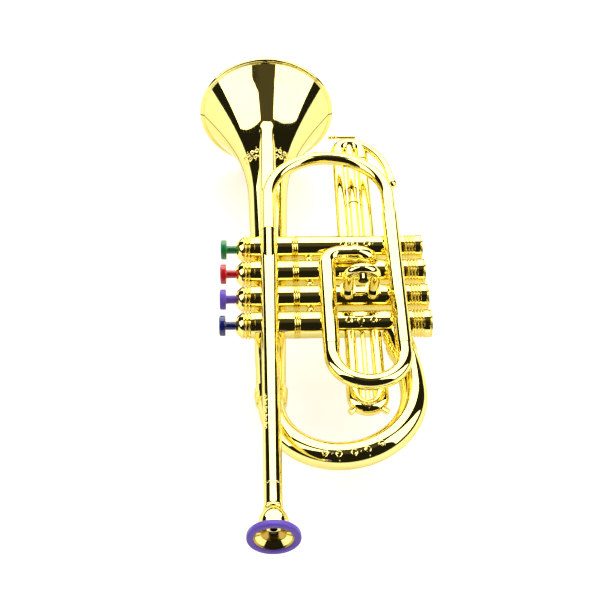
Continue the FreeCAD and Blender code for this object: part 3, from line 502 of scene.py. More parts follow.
def arc(start: Pair, end: Pair, centre: Pair, steps: int = 10) -> list[Pair]:
    """Go from start to end, the shorter way round a centre.

    Args:
        start: The first point.
        end: The last point.
        centre: The centre. The radius changes evenly where the ends lie at different distances.
        steps: Spans between the points.

    Returns:
        The points, both ends among them.
    """
    a0 = math.atan2(start[1] - centre[1], start[0] - centre[0])
    a1 = math.atan2(end[1] - centre[1], end[0] - centre[0])
    turn = (a1 - a0 + math.pi) % (2 * math.pi) - math.pi
    r0 = math.hypot(start[0] - centre[0], start[1] - centre[1])
    r1 = math.hypot(end[0] - centre[0], end[1] - centre[1])
    points = []
    for step in range(steps + 1):
        t = step / steps
        r, a = r0 + (r1 - r0) * t, a0 + turn * t
        points.append((centre[0] + r * math.cos(a), centre[1] + r * math.sin(a)))
    return points


def solid_mesh(verts: Sequence[Vector], faces: Sequence[Sequence[int]]) -> Mesh:
    """Make a finished mesh.

    Args:
        verts: Its corners, in metres.
        faces: Rows of their numbers.

    Returns:
        The mesh, welded and smooth.
    """
    mesh = bpy.data.meshes.new("solid")
    mesh.from_pydata(verts, [], faces)
    mesh.validate()
    return finish_mesh(mesh)


@dataclass
class Turning:
    """A closed outline of (along, radius) points, spun about an axis."""

    outline: Sequence[Pair]
    origin: Vector
    axis: Vector = field(default_factory=lambda: X_AXIS.copy())
    steps: int = 96

    def directions(self) -> tuple[Vector, Vector]:
        """Find two directions square to the axis.

        Returns:
            The direction where the spin starts, and the one that it turns towards.
        """
        side = self.axis.cross(Z_AXIS).normalized()
        return side.cross(self.axis).normalized(), side

    def mesh(self) -> Mesh:
        """Spin the outline all the way round.

        Returns:
            A closed mesh in metres.
        """
        first, side = self.directions()
        verts: list[Vector] = []
        faces: list[list[int]] = []
        count = len(self.outline)
        for step in range(self.steps):
            angle = 2 * math.pi * step / self.steps
            way = first * math.cos(angle) + side * math.sin(angle)
            for along, radius in self.outline:
                verts.append((self.origin + self.axis * along + way * radius) * MM)
        for step in range(self.steps):
            here, there = step * count, (step + 1) % self.steps * count
            for i in range(count):
                j = (i + 1) % count
                if max(self.outline[i][1], self.outline[j][1]) < ON_AXIS:
                    continue
                faces.append([here + i, here + j, there + j, there + i])
        return solid_mesh(verts, faces)

    def thing(self, name: str) -> Object:
        """Make the turned piece as an object."""
        return new_object(name, self.mesh())


class Tree:
    """A geometry-nodes tree with named inputs, which ends in a plain mesh of one finish."""

    def __init__(self, title: str, **inputs: str) -> None:
        """Start the tree.

        Args:
            title: Its name.
            inputs: The kind of each input, by name with _ for a space.
        """
        self.tree = bpy.data.node_groups.new(title, "GeometryNodeTree")
        face = self.tree.interface
        face.new_socket("Start", in_out="INPUT", socket_type="NodeSocketGeometry")
        self.ids = {}
        for name, kind in {**inputs, "Finish": "Material"}.items():
            socket = face.new_socket(name.replace("_", " "), in_out="INPUT", socket_type="NodeSocket" + kind)
            self.ids[name] = socket.identifier
        face.new_socket("Made", in_out="OUTPUT", socket_type="NodeSocketGeometry")
        self.nodes = NodeTree(self.tree)
        self.start = self.nodes.add("NodeGroupInput").outputs

    def close(self, shape: NodeSocket) -> None:
        """Realize the shape, set its material and end the tree.

        Args:
            shape: The socket of the finished geometry.
        """
        whole = self.nodes.add("GeometryNodeRealizeInstances", Geometry=shape)
        dressed = self.nodes.add(
            "GeometryNodeSetMaterial", Geometry=whole.outputs["Geometry"], Material=self.start["Finish"]
        )
        self.nodes.add("NodeGroupOutput", Made=dressed.outputs["Geometry"])

    def run(self, name: str, start: Mesh, **values: Any) -> Object:
        """Run the tree on a mesh.

        Args:
            name: The name of what it makes.
            start: The mesh that it starts from.
            values: The value of each input, by name with _ for a space.

        Returns:
            A plain mesh object.
        """
        thing = new_object(name + ".start", start)
        modifier = thing.modifiers.new("Tree", "NODES")
        modifier.node_group = self.tree
        for key, value in values.items():
            modifier[self.ids[key]] = value
        return bake(thing, name)


class TubeMaker:
    """Geometry nodes that sweep a round section along a line of edges."""

    def __init__(self) -> None:
        """Build the node tree once."""
        self.tree = Tree("Wire along a line", Sides="Int", Section_radius="Float")
        nodes, start = self.tree.nodes, self.tree.start
        line = nodes.add("GeometryNodeMeshToCurve", Mesh=start["Start"])
        section = nodes.add(
            "GeometryNodeCurvePrimitiveCircle", Resolution=start["Sides"], Radius=start["Section radius"]
        )
        sweep = nodes.add(
            "GeometryNodeCurveToMesh", Curve=line.outputs["Curve"], Profile_Curve=section.outputs["Curve"],
            Fill_Caps=True,
        )
        self.tree.close(sweep.outputs["Mesh"])

    def sweep(
        self, name: str, points: Sequence[Vector], radius: float, finish: Material, sides: int,
    ) -> Object:
        """Sweep one piece.

        Args:
            name: The piece's name.
            points: Its middle line, in millimetres.
            radius: The wire's radius, in millimetres.
            finish: Its material.
            sides: Faces round the wire.

        Returns:
            A plain mesh object.
        """
        line = bpy.data.meshes.new(name + ".line")
        line.from_pydata([point * MM for point in points], [(i, i + 1) for i in range(len(points) - 1)], [])
        made = self.tree.run(name, line, Sides=sides, Section_radius=radius * MM, Finish=finish)
        finish_mesh(made.data)
        return made


def bake(thing: Object, name: str) -> Object:
    """Turn an object with modifiers into a plain mesh object.

    Args:
        thing: The object, which is dropped.
        name: The new object's name.

    Returns:
        The plain one.
    """
    graph = bpy.context.evaluated_depsgraph_get()
    graph.update()
    mesh = bpy.data.meshes.new_from_object(thing.evaluated_get(graph))
    old = thing.data
    bpy.data.objects.remove(thing)
    bpy.data.meshes.remove(old)
    return new_object(name, mesh)


def carve(thing: Object, *tools: Object) -> Object:
    """Cut one or more closed tools out of a closed piece.

    Args:
        thing: The piece.
        tools: What is cut away. They are dropped afterwards.

    Returns:
        The cut piece, a plain mesh object of the same name.
    """
    name = thing.name
    thing.name = name + ".whole"
    for tool in tools:
        modifier = thing.modifiers.new("Cut", "BOOLEAN")
        modifier.operation = "DIFFERENCE"
        modifier.solver = "EXACT"
        modifier.object = tool
    made = bake(thing, name)
    finish_mesh(made.data, turn_out=False)
    for tool in tools:
        bpy.data.objects.remove(tool)
    return made


def joined(name: str, things: Sequence[Object]) -> Object:
    """Join several objects.

    Args:
        name: The name of the whole.
        things: The objects, which are dropped.

    Returns:
        One plain mesh object.
    """
    work = bmesh.new()
    for thing in things:
        work.from_mesh(thing.data)
        bpy.data.objects.remove(thing)
    mesh = bpy.data.meshes.new(name)
    work.to_mesh(mesh)
    work.free()
    mesh.set_sharp_from_angle(angle=SMOOTH_ANGLE)
    return new_object(name, mesh)


# Bell and leadpipe -----------------------------------------------------------------------------


@dataclass(frozen=True)
class Leadpipe:
    """The tapered pipe from the mouthpiece to the bell, as its neighbours need it."""

    height: float = 18.6
    rear: Pair = (-151.3, 5.05)
    front: Pair = (148.0, 5.75)

    def radius_at(self, along: float) -> float:
        """The outer radius at a place along the pipe."""
        share = (along - self.rear[0]) / (self.front[0] - self.rear[0])
        return self.rear[1] + (self.front[1] - self.rear[1]) * share

    def form(self, name: str) -> Object:
        """The solid form, for cutting the casings under it."""
        outline = [(self.rear[0], 0), self.rear, self.front, (self.front[0], 0)]
        return Turning(outline, PLACE.at(0, 0, self.height), Y_AXIS).thing(name)


@dataclass
class Bell:
    """The flared bell: two half shells with a seam along each side, and the rolled ring of its rim."""

    rim_radius: float = 47.5
    wall: float = 1.5
    ring_depth: float = 2.6
    ring_width: float = 3.4
    ring_lap: float = 0.6
    ring_edge: float = 0.35
    ring_dip: float = 0.2
    lip_radius: float = 45.0
    flare: tuple[Pair, ...] = ((49.0, 20.4), (29.9, 28.8), (16.8, 36.1))
    throat_depth: float = 92.0
    throat_radius: float = 13.0
    pipe_end_radius: float = 8.3
    pipe_end_y: float = -81.5
    past_end: float = 2.0
    seam_depth: float = 0.55
    seam_width: float = 0.5
    steps: int = 120

    def outside(self) -> list[Pair]:
        """Draw the outside from the pipe's end to the lip.

        Returns:
            Points of (along, radius).
        """
        throat = (PLACE.rim_y - self.throat_depth, self.throat_radius)
        slope = (self.throat_radius - self.pipe_end_radius) / (throat[0] - self.pipe_end_y)
        stations = [throat] + [(PLACE.rim_y - depth, radius) for depth, radius in self.flare]
        stations.append((PLACE.rim_y - self.ring_depth, self.lip_radius))
        last = (stations[-1][0] - stations[-2][0], stations[-1][1] - stations[-2][1])
        return [(self.pipe_end_y, self.pipe_end_radius)] + smooth_curve(stations, (1, slope), last)

    def radius_at(self, along: float) -> float:
        """The outer radius at a place along the axis."""
        points = self.outside()
        return float(np.interp(along, [p[0] for p in points], [p[1] for p in points]))

    def half(self, name: str, side: int) -> Object:
        """Make one half shell, with its long edges eased so that the seam shows as a fine groove.

        Args:
            name: The piece's name.
            side: 1 for the upper half, -1 for the lower one.

        Returns:
            The closed half shell.
        """
        outside = self.outside()
        inside = offset_curve(outside, self.wall)
        verts: list[Vector] = []
        faces: list[list[int]] = []
        count = len(outside)
        angles = [math.pi * step / self.steps for step in range(self.steps + 1)]
        rings = [(angles[0], self.seam_depth)] + [(a, None) for a in angles] + [(angles[-1], self.seam_depth)]
        for index, (angle, depth) in enumerate(rings):
            for (y, radius), (inner_y, inner_radius) in zip(outside, inside):
                turn, outer = angle, radius
                if depth is not None:
                    outer = radius - depth
                elif index in (1, len(rings) - 2):
                    nudge = self.seam_width / radius / 2
                    turn = nudge if index == 1 else math.pi - nudge
                verts.append(self.point(turn * side, y, outer))
                turn = angle
                verts.append(self.point(turn * side, inner_y, inner_radius))
        width = count * 2
        for index in range(len(rings) - 1):
            here, there = index * width, (index + 1) * width
            for i in range(count - 1):
                a, b = 2 * i, 2 * (i + 1)
                faces.append([here + a, here + b, there + b, there + a])
                if index:
                    faces.append([here + a + 1, there + a + 1, there + b + 1, here + b + 1])
            for end in (0, width - 2):
                faces.append([here + end, here + end + 1, there + end + 1, there + end])
        last = len(rings) - 1
        for row in (0, last):
            base = row * width
            for i in range(count - 1):
                faces.append([base + 2 * i, base + 2 * i + 1, base + 2 * i + 3, base + 2 * i + 2])
        return new_object(name, solid_mesh(verts, faces))

    def point(self, angle: float, along: float, radius: float) -> Vector:
        """A point of the shell in metres, with the angle measured from +X."""
        return PLACE.at(radius * math.cos(angle), along, radius * math.sin(angle)) * MM

    def rim(self, name: str) -> Object:
        """Make the rolled ring round the mouth of the bell.

        Args:
            name: The piece's name.

        Returns:
            The closed ring, which laps over the shells' lip.
        """
        rear, front, roll = PLACE.rim_y - self.ring_depth, PLACE.rim_y, self.ring_depth / 2
        crown, foot = rear + roll, rear - self.ring_lap
        middle, inner = self.rim_radius - roll, self.rim_radius - self.ring_width
        outline = arc((rear, middle), (crown, self.rim_radius), (crown, middle))
        outline += arc((crown, self.rim_radius), (front, middle), (crown, middle))[1:]
        lap = [(front, middle - self.ring_dip), (front, inner), (foot, inner), (foot, middle - self.ring_lap)]
        return Turning(outline + eased(lap, self.ring_edge), PLACE.at(0, 0, 0), Y_AXIS, 160).thing(name)

    def pipe_form(self, name: str) -> Object:
        """Make the solid form of the bell pipe, for cutting neighbours that sit on it.

        Args:
            name: The tool's name.

        Returns:
            The closed form, from past the pipe's end to the throat.
        """
        end, throat = self.pipe_end_y - self.past_end, PLACE.rim_y - self.throat_depth
        outline = [(end, 0), (end, self.pipe_end_radius), (self.pipe_end_y, self.pipe_end_radius)]
        outline += [(throat, self.throat_radius), (throat, 0)]
        return Turning(outline, PLACE.at(0, 0, 0), Y_AXIS, 120).thing(name)

    def build(self, shop: Workshop) -> None:
        """Make the bell's pieces.

        Args:
            shop: What finishes them.
        """
        # The halves and the rim take the gold with the painted seam shadow.
        for thing, node in (
            (self.half("bell_shell_right", 1), "bell_right_half"),
            (self.half("bell_shell_left", -1), "bell_left_half"),
            (self.rim("bell_rim"), "bell_rim_ring"),
        ):
            shop.seat(thing, Slot.GOLD, stands_for=[node], finish=shop.seam_shadow_gold)


# Valves and keys -------------------------------------------------------------------------------

# A rolled ring in an outline: its start and end along the axis, the radius of its foot and of its crest.
Ring = tuple[float, float, float, float]


def bead(ring: Ring, steps: int = 7) -> list[Pair]:
    """Draw a rolled ring.

    Args:
        ring: Its sizes.
        steps: Spans from its start to its end.

    Returns:
        Points of (along, radius).
    """
    start, end, foot, crest = ring
    middle, half = (start + end) / 2, (end - start) / 2
    angles = [math.pi * step / steps for step in range(steps + 1)]
    return [(middle - half * math.cos(a), foot + (crest - foot) * math.sin(a)) for a in angles]


@dataclass
class ValveRow:
    """Four valves side by side. Places along an axis run from the bell's axis towards the bottom caps."""

    colours: tuple[Slot, ...] = (Slot.GREEN, Slot.RED, Slot.PURPLE, Slot.BLUE)
    front_y: float = 35.0
    pitch: float = 21.5
    height: float = 9.5
    rings: int = 3

    casing_top: float = -9.0
    casing_bottom: float = 85.0
    casing_radius: float = 8.15
    casing_edge: float = 0.15
    casing_bore: float = 6.65
    core_x: float = 13.0
    seat_x: float = -10.9
    seat_gap: float = 0.02
    bead_x: float = 15.0
    bead_pitch: float = 1.35
    bead_half: float = 0.42
    bead_foot: float = 7.95
    bead_crest: float = 8.58
    groove: tuple[float, float, float] = (0.62, 0.5, 7.9)

    cap_top: float = -20.8
    cap_hole: float = 2.6
    cap_edge: Pair = (0.3, 0.35)
    dome_foot: Pair = (-15.9, 8.1)
    dome_centre: float = -12.41
    cap_neck: tuple[Pair, ...] = ((-15.65, 7.75), (-15.35, 7.2), (-15.2, 7.2))
    cap_outer_ring: Ring = (-15.1, -13.5, 7.35, 8.45)
    cap_groove: tuple[Pair, ...] = ((-13.35, 7.25), (-13.25, 7.25))
    cap_inner_ring: Ring = (-13.1, -11.7, 7.4, 8.55)
    cap_skirt: tuple[Pair, ...] = ((-11.55, 7.5), (-11.3, 7.9), (-9.05, 7.95), (-9.0, 7.85))
    chamber_top: float = -19.0
    chamber_radius: float = 5.3

    bottom_crest: float = 8.6
    bottom_neck: float = 7.6
    ring_x: float = 86.45
    ring_pitch: float = 1.9
    ring_half: float = 0.72
    bottom_block: tuple[Pair, ...] = (
        (91.55, 7.6), (91.6, 8.3), (91.85, 8.55), (95.0, 8.55), (95.25, 8.35), (95.35, 7.85), (95.5, 7.85),
    )
    end_ring: Ring = (95.55, 96.75, 7.95, 8.45)
    end_ring_points: int = 6
    end_face: tuple[Pair, ...] = (
        (96.75, 7.9), (96.95, 7.2), (97.0, 6.6), (96.85, 6.2), (96.35, 5.8), (96.2, 3.0), (96.45, 2.5),
        (96.9, 2.2), (97.0, 1.6), (97.0, 0),
    )
    bottom_spigot: Pair = (80.1, 6.6)
    bottom_gap: float = 0.02

    key_face: tuple[Pair, ...] = ((-29.85, 0), (-29.9, 2.2), (-30.18, 4.5), (-30.3, 5.05))
    key_disc: Pair = (-30.3, -26.6)
    key_radius: float = 6.2
    key_edges: tuple[float, float, float] = (0.8, 0.5, 0.6)
    stem_radius: float = 2.5
    stem_end: float = -16.2
    flange: Pair = (-18.9, -17.5)
    flange_radius: float = 4.9
    flange_edge: float = 0.2

    spring_start: float = -17.05
    spring_end: float = -11.35
    spring_radius: float = 3.9
    spring_wire: float = 0.35
    spring_turns: float = 3.0
    spring_steps: int = 28
    spring_keep: float = 0.3

    def centre(self, number: int) -> Vector:
        """The point of a valve's axis beside the bell's axis."""
        return PLACE.at(0, self.front_y - self.pitch * number, self.height)

    def top_cap(self) -> list[Pair]:
        """Draw the domed cap: a dome with two rolled rings at its foot and a plain skirt.

        Returns:
            Its closed outline.
        """
        inset, rise = self.cap_edge
        outline = [(self.cap_top + inset, self.cap_hole)]
        outline += arc((self.cap_top, self.cap_hole + rise), self.dome_foot, (self.dome_centre, 0), 18)
        outline += [*self.cap_neck, *bead(self.cap_outer_ring), *self.cap_groove, *bead(self.cap_inner_ring)]
        chamber = ((end, self.chamber_radius) for end in (self.casing_top, self.chamber_top))
        return [*outline, *self.cap_skirt, *chamber, (self.chamber_top, self.cap_hole)]

    def bottom_cap(self) -> list[Pair]:
        """Draw the bottom cap: three rolled rings, a plain block and a rolled end with a dished face.

        Returns:
            Its closed outline.
        """
        start = self.casing_bottom + self.bottom_gap
        spigot_end, spigot_radius = self.bottom_spigot
        outline = [(start, self.bottom_neck)]
        for ring in range(self.rings):
            middle, half = self.ring_x + self.ring_pitch * ring, self.ring_half
            outline += bead((middle - half, middle + half, self.bottom_neck, self.bottom_crest))
        outline += [*self.bottom_block, *bead(self.end_ring)[:self.end_ring_points], *self.end_face]
        return outline + [(spigot_end, 0), (spigot_end, spigot_radius), (start, spigot_radius)]

    def key(self) -> list[Pair]:
        """Draw one key: a disc with a dished face, a stem and its stop flange.

        Returns:
            Its closed outline.
        """
        (top, back), radius, stem = self.key_disc, self.key_radius, self.stem_radius
        front, rear, foot = self.key_edges
        outline = list(self.key_face)
        outline += arc((top, radius - front), (top + front, radius), (top + front, radius - front), 6)
        outline += arc((back - rear, radius), (back, radius - rear), (back - rear, radius - rear), 4)
        outline += arc((back, stem + foot), (back + foot, stem), (back + foot, stem + foot), 5)
        first, last = self.flange
        edge, crest = self.flange_edge, self.flange_radius
        outline += [(first, stem), (first, crest - edge), (first + edge, crest), (last - edge, crest)]
        return outline + [(last, crest - edge), (last, stem), (self.stem_end, stem), (self.stem_end, 0)]

    def casing(self) -> list[Pair]:
        """Draw a casing: a tube with a solid block at its top and three fine rolled rings.

        Returns:
            Its closed outline.
        """
        boss, (wide, narrow, depth) = self.chamber_radius - self.seat_gap, self.groove
        outline = [(self.seat_x, 0), (self.seat_x, boss), (self.casing_top, boss), (self.casing_top, depth)]
        outline += [(self.casing_top + self.casing_edge, self.casing_radius)]
        for ring in range(self.rings):
            middle, half = self.bead_x + self.bead_pitch * ring, self.bead_half
            outline += [(middle - wide, self.casing_radius), (middle - narrow, depth)]
            outline += bead((middle - half, middle + half, self.bead_foot, self.bead_crest), 6)
            outline += [(middle + narrow, depth), (middle + wide, self.casing_radius)]
        end, edge, bore = self.casing_bottom, self.casing_edge, self.casing_bore
        outline += [(end - edge, self.casing_radius), (end, self.casing_radius - edge), (end, bore)]
        return outline + [(self.core_x, bore), (self.core_x, 0)]

    def spring(self, name: str, number: int, finish: Material, maker: TubeMaker) -> Object:
        """Wind the return spring round a stem, with a closed turn at each end.

        Args:
            name: The piece's name.
            number: The valve, from 0.
            finish: Its material.
            maker: What sweeps the wire.

        Returns:
            The spring at rest.
        """
        turns = self.spring_turns + 1
        steps = int(turns * self.spring_steps)
        points = []
        for step in range(steps + 1):
            turn = turns * step / steps
            rise = min(max((turn - 0.5) / (turns - 1), 0), 1)
            angle = 2 * math.pi * turn
            along = self.spring_start + (self.spring_end - self.spring_start) * rise
            side, above = self.spring_radius * math.sin(angle), self.spring_radius * math.cos(angle)
            points.append(self.centre(number) + Vector((along, side, above)))
        return maker.sweep(name, points, self.spring_wire, finish, 12)

    def build(self, shop: Workshop, tubes: TubeMaker, bell: Bell, leadpipe: Leadpipe) -> None:
        """Make the casings, caps, keys and springs of all four valves.

        Args:
            shop: What finishes them.
            tubes: What sweeps the springs.
            bell: The bell, whose pipe passes through the casings.
            leadpipe: The leadpipe, which lies on them.
        """
        for number, colour in enumerate(self.colours):
            word = colour.value.split("_")[0]
            centre = self.centre(number)
            cap = Turning(self.top_cap(), centre).thing(f"top_cap_{number + 1}_turned")
            cap = carve(cap, bell.pipe_form("pipe_tool"))
            shop.seat(cap, Slot.GOLD, stands_for=[f"top_cap_{number + 1}"])
            bottom = Turning(self.bottom_cap(), centre).thing(f"bottom_cap_{number + 1}_turned")
            shop.seat(bottom, Slot.GOLD, stands_for=[f"bottom_cap_{number + 1}"])
            casing = Turning(self.casing(), centre).thing(f"valve_casing_{number + 1}_turned")
            casing = carve(casing, bell.pipe_form("pipe_tool"), leadpipe.form("lead_tool"))
            shop.seat(casing, Slot.GOLD, stands_for=[f"valve_casing_{number + 1}"])
            shop.keep(f"reed_plate_{number + 1}", Slot.REED)
            key = Turning(self.key(), centre).thing(f"key_{word}_turned")
            shop.seat(key, colour, f"key_{word}", [f"key_{word}"])
            shop.keep(f"key_pad_{word}", Slot.RUBBER)
            spring = self.spring(f"key_spring_{word}_coiled", number, shop.materials[Slot.STEEL], tubes)
            shop.seat(spring, Slot.STEEL, stands_for=[f"key_spring_{word}"])
            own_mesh(spring)


# Mouthpiece ------------------------------------------------------------------------------------


@dataclass
class Mouthpiece:
    """The cup with its shank, and the coloured ring round its face."""

    bore: float = 2.0
    spigot: tuple[Pair, ...] = ((-137.3, 3.15), (-137.5, 3.35), (-151.28, 3.35))
    shank_ring: Ring = (-152.4, -151.3, 4.95, 5.09)
    shank: tuple[Pair, ...] = ((-164.0, 5.05), (-165.0, 5.1))
    neck_ring: Ring = (-167.0, -165.2, 5.0, 5.45)
    skirt: tuple[Pair, ...] = ((-167.2, 5.0), (-170.0, 6.7), (-174.5, 8.2), (-181.4, 9.3))
    skirt_slopes: tuple[Pair, Pair] = ((-1, 0.55), (-1, 0.3))
    cup_face: Pair = (-181.4, 6.7)
    cup_floor: tuple[Pair, ...] = ((-178.8, 9.25), (-178.6, 2.0))
    liner: Pair = (-184.0, 10.45)
    funnel: tuple[Pair, ...] = ((-184.1, 10.45), (-182.0, 8.3), (-179.4, 4.6), (-176.6, 2.0))
    funnel_slopes: tuple[Pair, Pair] = ((0.6, -1), (1, -0.5))
    funnel_wall: float = 0.35
    lip: float = 0.3
    throat_radius: float = 2.4
    ring_mouth: float = -185.0
    ring_radius: float = 14.2
    ring_hole: float = 10.5
    ring_foot: float = 8.8
    ring_edges: tuple[float, float, float] = (0.9, 1.1, 0.75)
    ring_taper: float = 0.08
    ring_lap: float = 0.05
    steps: int = 128

    def cup(self) -> list[Pair]:
        """Draw shank, skirt and bowl. The bowl's thin wall lines the coloured ring.

        Returns:
            The closed outline.
        """
        outline = [(self.spigot[0][0], self.bore), *self.spigot, *bead(self.shank_ring)[::-1], *self.shank]
        outline += bead(self.neck_ring)[::-1] + smooth_curve(self.skirt, *self.skirt_slopes, 8)
        return outline + [self.cup_face, self.liner, *self.cup_floor]

    def bowl(self) -> list[Pair]:
        """Draw the bowl's matt lining, darker with painted shade: a shallow funnel from the ring down to the
        bore.

        Returns:
            The closed outline.
        """
        inner = smooth_curve(self.funnel, *self.funnel_slopes, 10)
        ends = (self.liner[0] + self.lip, self.liner[1]), (self.funnel[-1][0], self.throat_radius)
        return [ends[0], *inner, ends[1]] + offset_curve(inner, -self.funnel_wall)[::-1]

    def ring(self) -> list[Pair]:
        """Draw the coloured ring: a flat-sided rim with rounded edges, and a wide opening.

        Returns:
            The closed outline.
        """
        face, mouth, radius, hole = self.cup_face[0], self.ring_mouth, self.ring_radius, self.ring_hole
        rear, front, inner = self.ring_edges
        outline = [(face, self.ring_foot)]
        back = (face - rear, radius - self.ring_taper)
        outline += arc((face, radius - rear), back, (face - rear, radius - rear), 5)
        outline += arc((mouth + front, radius), (mouth, radius - front), (mouth + front, radius - front), 7)
        outline += arc((mouth, hole + inner), (mouth + inner, hole), (mouth + inner, hole + inner), 6)
        return outline + [(self.liner[0], self.liner[1] - self.ring_lap)]

    def build(self, shop: Workshop, leadpipe: Leadpipe) -> None:
        """Make the three pieces.

        Args:
            shop: What finishes them.
            leadpipe: The pipe that the shank stands in.
        """
        centre = PLACE.at(0, 0, leadpipe.height)
        for name, outline, slot, nodes, finish in (
            ("mouthpiece_cup_turned", self.cup(), Slot.GOLD, ["mouthpiece_cup"], None),
            ("mouthpiece_ring_turned", self.ring(), Slot.PURPLE, ["mouthpiece_ring"], None),
            # The bowl lining takes the darker gold, whose colour is painted shade inside the cup.
            ("mouthpiece_bowl_lining", self.bowl(), Slot.GOLD, [], shop.bowl_shade_gold),
        ):
            thing = Turning(outline, centre, Y_AXIS, self.steps).thing(name)
            shop.seat(thing, slot, "mouthpiece", nodes, finish)


# Ornament --------------------------------------------------------------------------------------


Wrap = Callable[[float, float, float], Vector]


@dataclass(frozen=True)
class Motif:
    """A repeated curl with its leaf and dot."""

    count: int
    pitch: float
    curl: float
    wire: float
    dot: float
    turns: float


class FriezeMaker:
    """Geometry nodes that lay a row of curls, leaves and dots on a flat strip along X."""

    eye_share: float = 0.5
    crown_rise: float = 1.75
    crown_scale: Triple = (1.0, 1.0, 0.7)
    leaf_reach: float = 0.5
    leaf_turn: Triple = (0.0, 0.0, 0.9)
    leaf_scale: Triple = (1.6, 0.75, 0.7)

    def __init__(self) -> None:
        """Build the node tree once."""
        self.tree = Tree(
            "Scroll frieze", Count="Int", Pitch="Vector", Turns="Float", Eye_radius="Float",
            Curl_radius="Float", Wire_radius="Float", Dot_radius="Float",
        )
        nodes, start = self.tree.nodes, self.tree.start
        spiral = nodes.add(
            "GeometryNodeCurveSpiral", Resolution=26, Height=0.0, Rotations=start["Turns"],
            Start_Radius=start["Eye radius"], End_Radius=start["Curl radius"],
        )
        section = nodes.add("GeometryNodeCurvePrimitiveCircle", Resolution=8, Radius=start["Wire radius"])
        curl = nodes.add(
            "GeometryNodeCurveToMesh", Curve=spiral.outputs["Curve"], Profile_Curve=section.outputs["Curve"],
            Fill_Caps=True,
        )
        ball = nodes.add("GeometryNodeMeshUVSphere", Segments=12, Rings=8, Radius=start["Dot radius"])
        dot = ball.outputs["Mesh"]
        rise = nodes.maths("MULTIPLY", start["Curl radius"], self.crown_rise)
        above = nodes.add("ShaderNodeCombineXYZ", Y=rise)
        crown = nodes.add(
            "GeometryNodeTransform", Geometry=dot, Translation=above.outputs["Vector"], Scale=self.crown_scale
        )
        reach = nodes.add("ShaderNodeVectorMath", {"operation": "SCALE"}, Scale=self.leaf_reach)
        nodes.fill(reach, start["Pitch"])
        leaf = nodes.add(
            "GeometryNodeTransform", Geometry=dot, Translation=reach.outputs["Vector"],
            Rotation=self.leaf_turn, Scale=self.leaf_scale,
        )
        motif = nodes.add("GeometryNodeJoinGeometry")
        for piece in (leaf.outputs["Geometry"], crown.outputs["Geometry"], curl.outputs["Mesh"]):
            nodes.link(piece, motif.inputs["Geometry"])
        line = nodes.add("GeometryNodeMeshLine", Count=start["Count"], Offset=start["Pitch"])
        odd = nodes.maths("MODULO", nodes.add("GeometryNodeInputIndex").outputs["Index"], 2.0)
        angles = nodes.add("ShaderNodeCombineXYZ", Z=nodes.maths("MULTIPLY", odd, math.pi))
        turned = nodes.add("FunctionNodeEulerToRotation", Euler=angles.outputs["Vector"])
        placed = nodes.add(
            "GeometryNodeInstanceOnPoints", Points=line.outputs["Mesh"], Instance=motif.outputs["Geometry"],
            Rotation=turned.outputs["Rotation"],
        )
        self.tree.close(placed.outputs["Instances"])

    def strip(self, name: str, motif: Motif, wrap: Wrap, finish: Material) -> Object:
        """Lay a flat strip, then bend it onto a surface.

        Args:
            name: The piece's name.
            motif: What is repeated.
            wrap: Gives the point of the surface for (along, across, out), all in millimetres.
            finish: Its material.

        Returns:
            A plain mesh object.
        """
        made = self.tree.run(
            name, bpy.data.meshes.new(name), Count=motif.count, Pitch=(motif.pitch * MM, 0.0, 0.0),
            Turns=motif.turns, Eye_radius=motif.curl * self.eye_share * MM, Curl_radius=motif.curl * MM,
            Wire_radius=motif.wire * MM, Dot_radius=motif.dot * MM, Finish=finish,
        )
        middle = motif.pitch * (motif.count - 1) / 2
        for vertex in made.data.vertices:
            x, y, z = vertex.co / MM
            vertex.co = wrap(x - middle, y, z) * MM
        finish_mesh(made.data)
        return made


@dataclass(frozen=True)
class Bend:
    """A bent tube, and the place on it that a strip takes.

    The middle is an angle on the bend in degrees from +X, and the side one on the tube, from its outer side
    upwards. The lean is how far the bend's plane rises with distance from the bell's axis.
    """

    centre: Pair
    radius: float
    tube: float
    height: float
    middle: float
    side: float
    lean: float = 0.0

    def wrap(self, x: float, y: float, out: float) -> Vector:
        """Bend a point of a flat strip onto the tube.

        Args:
            x: Its place along the strip.
            y: Its place across it.
            out: Its height over it.

        Returns:
            The point, in millimetres.
        """
        a = math.radians(self.middle) + x / (self.radius + self.tube)
        b = math.radians(self.side) + y / self.tube
        reach = self.radius + (self.tube + out) * math.cos(b)
        across, along = self.centre[0] + reach * math.cos(a), self.centre[1] + reach * math.sin(a)
        above = (self.tube + out) * math.sin(b)
        turn = math.radians(self.lean)
        return PLACE.at(
            across * math.cos(turn) - above * math.sin(turn), along,
            self.height + across * math.sin(turn) + above * math.cos(turn),
        )


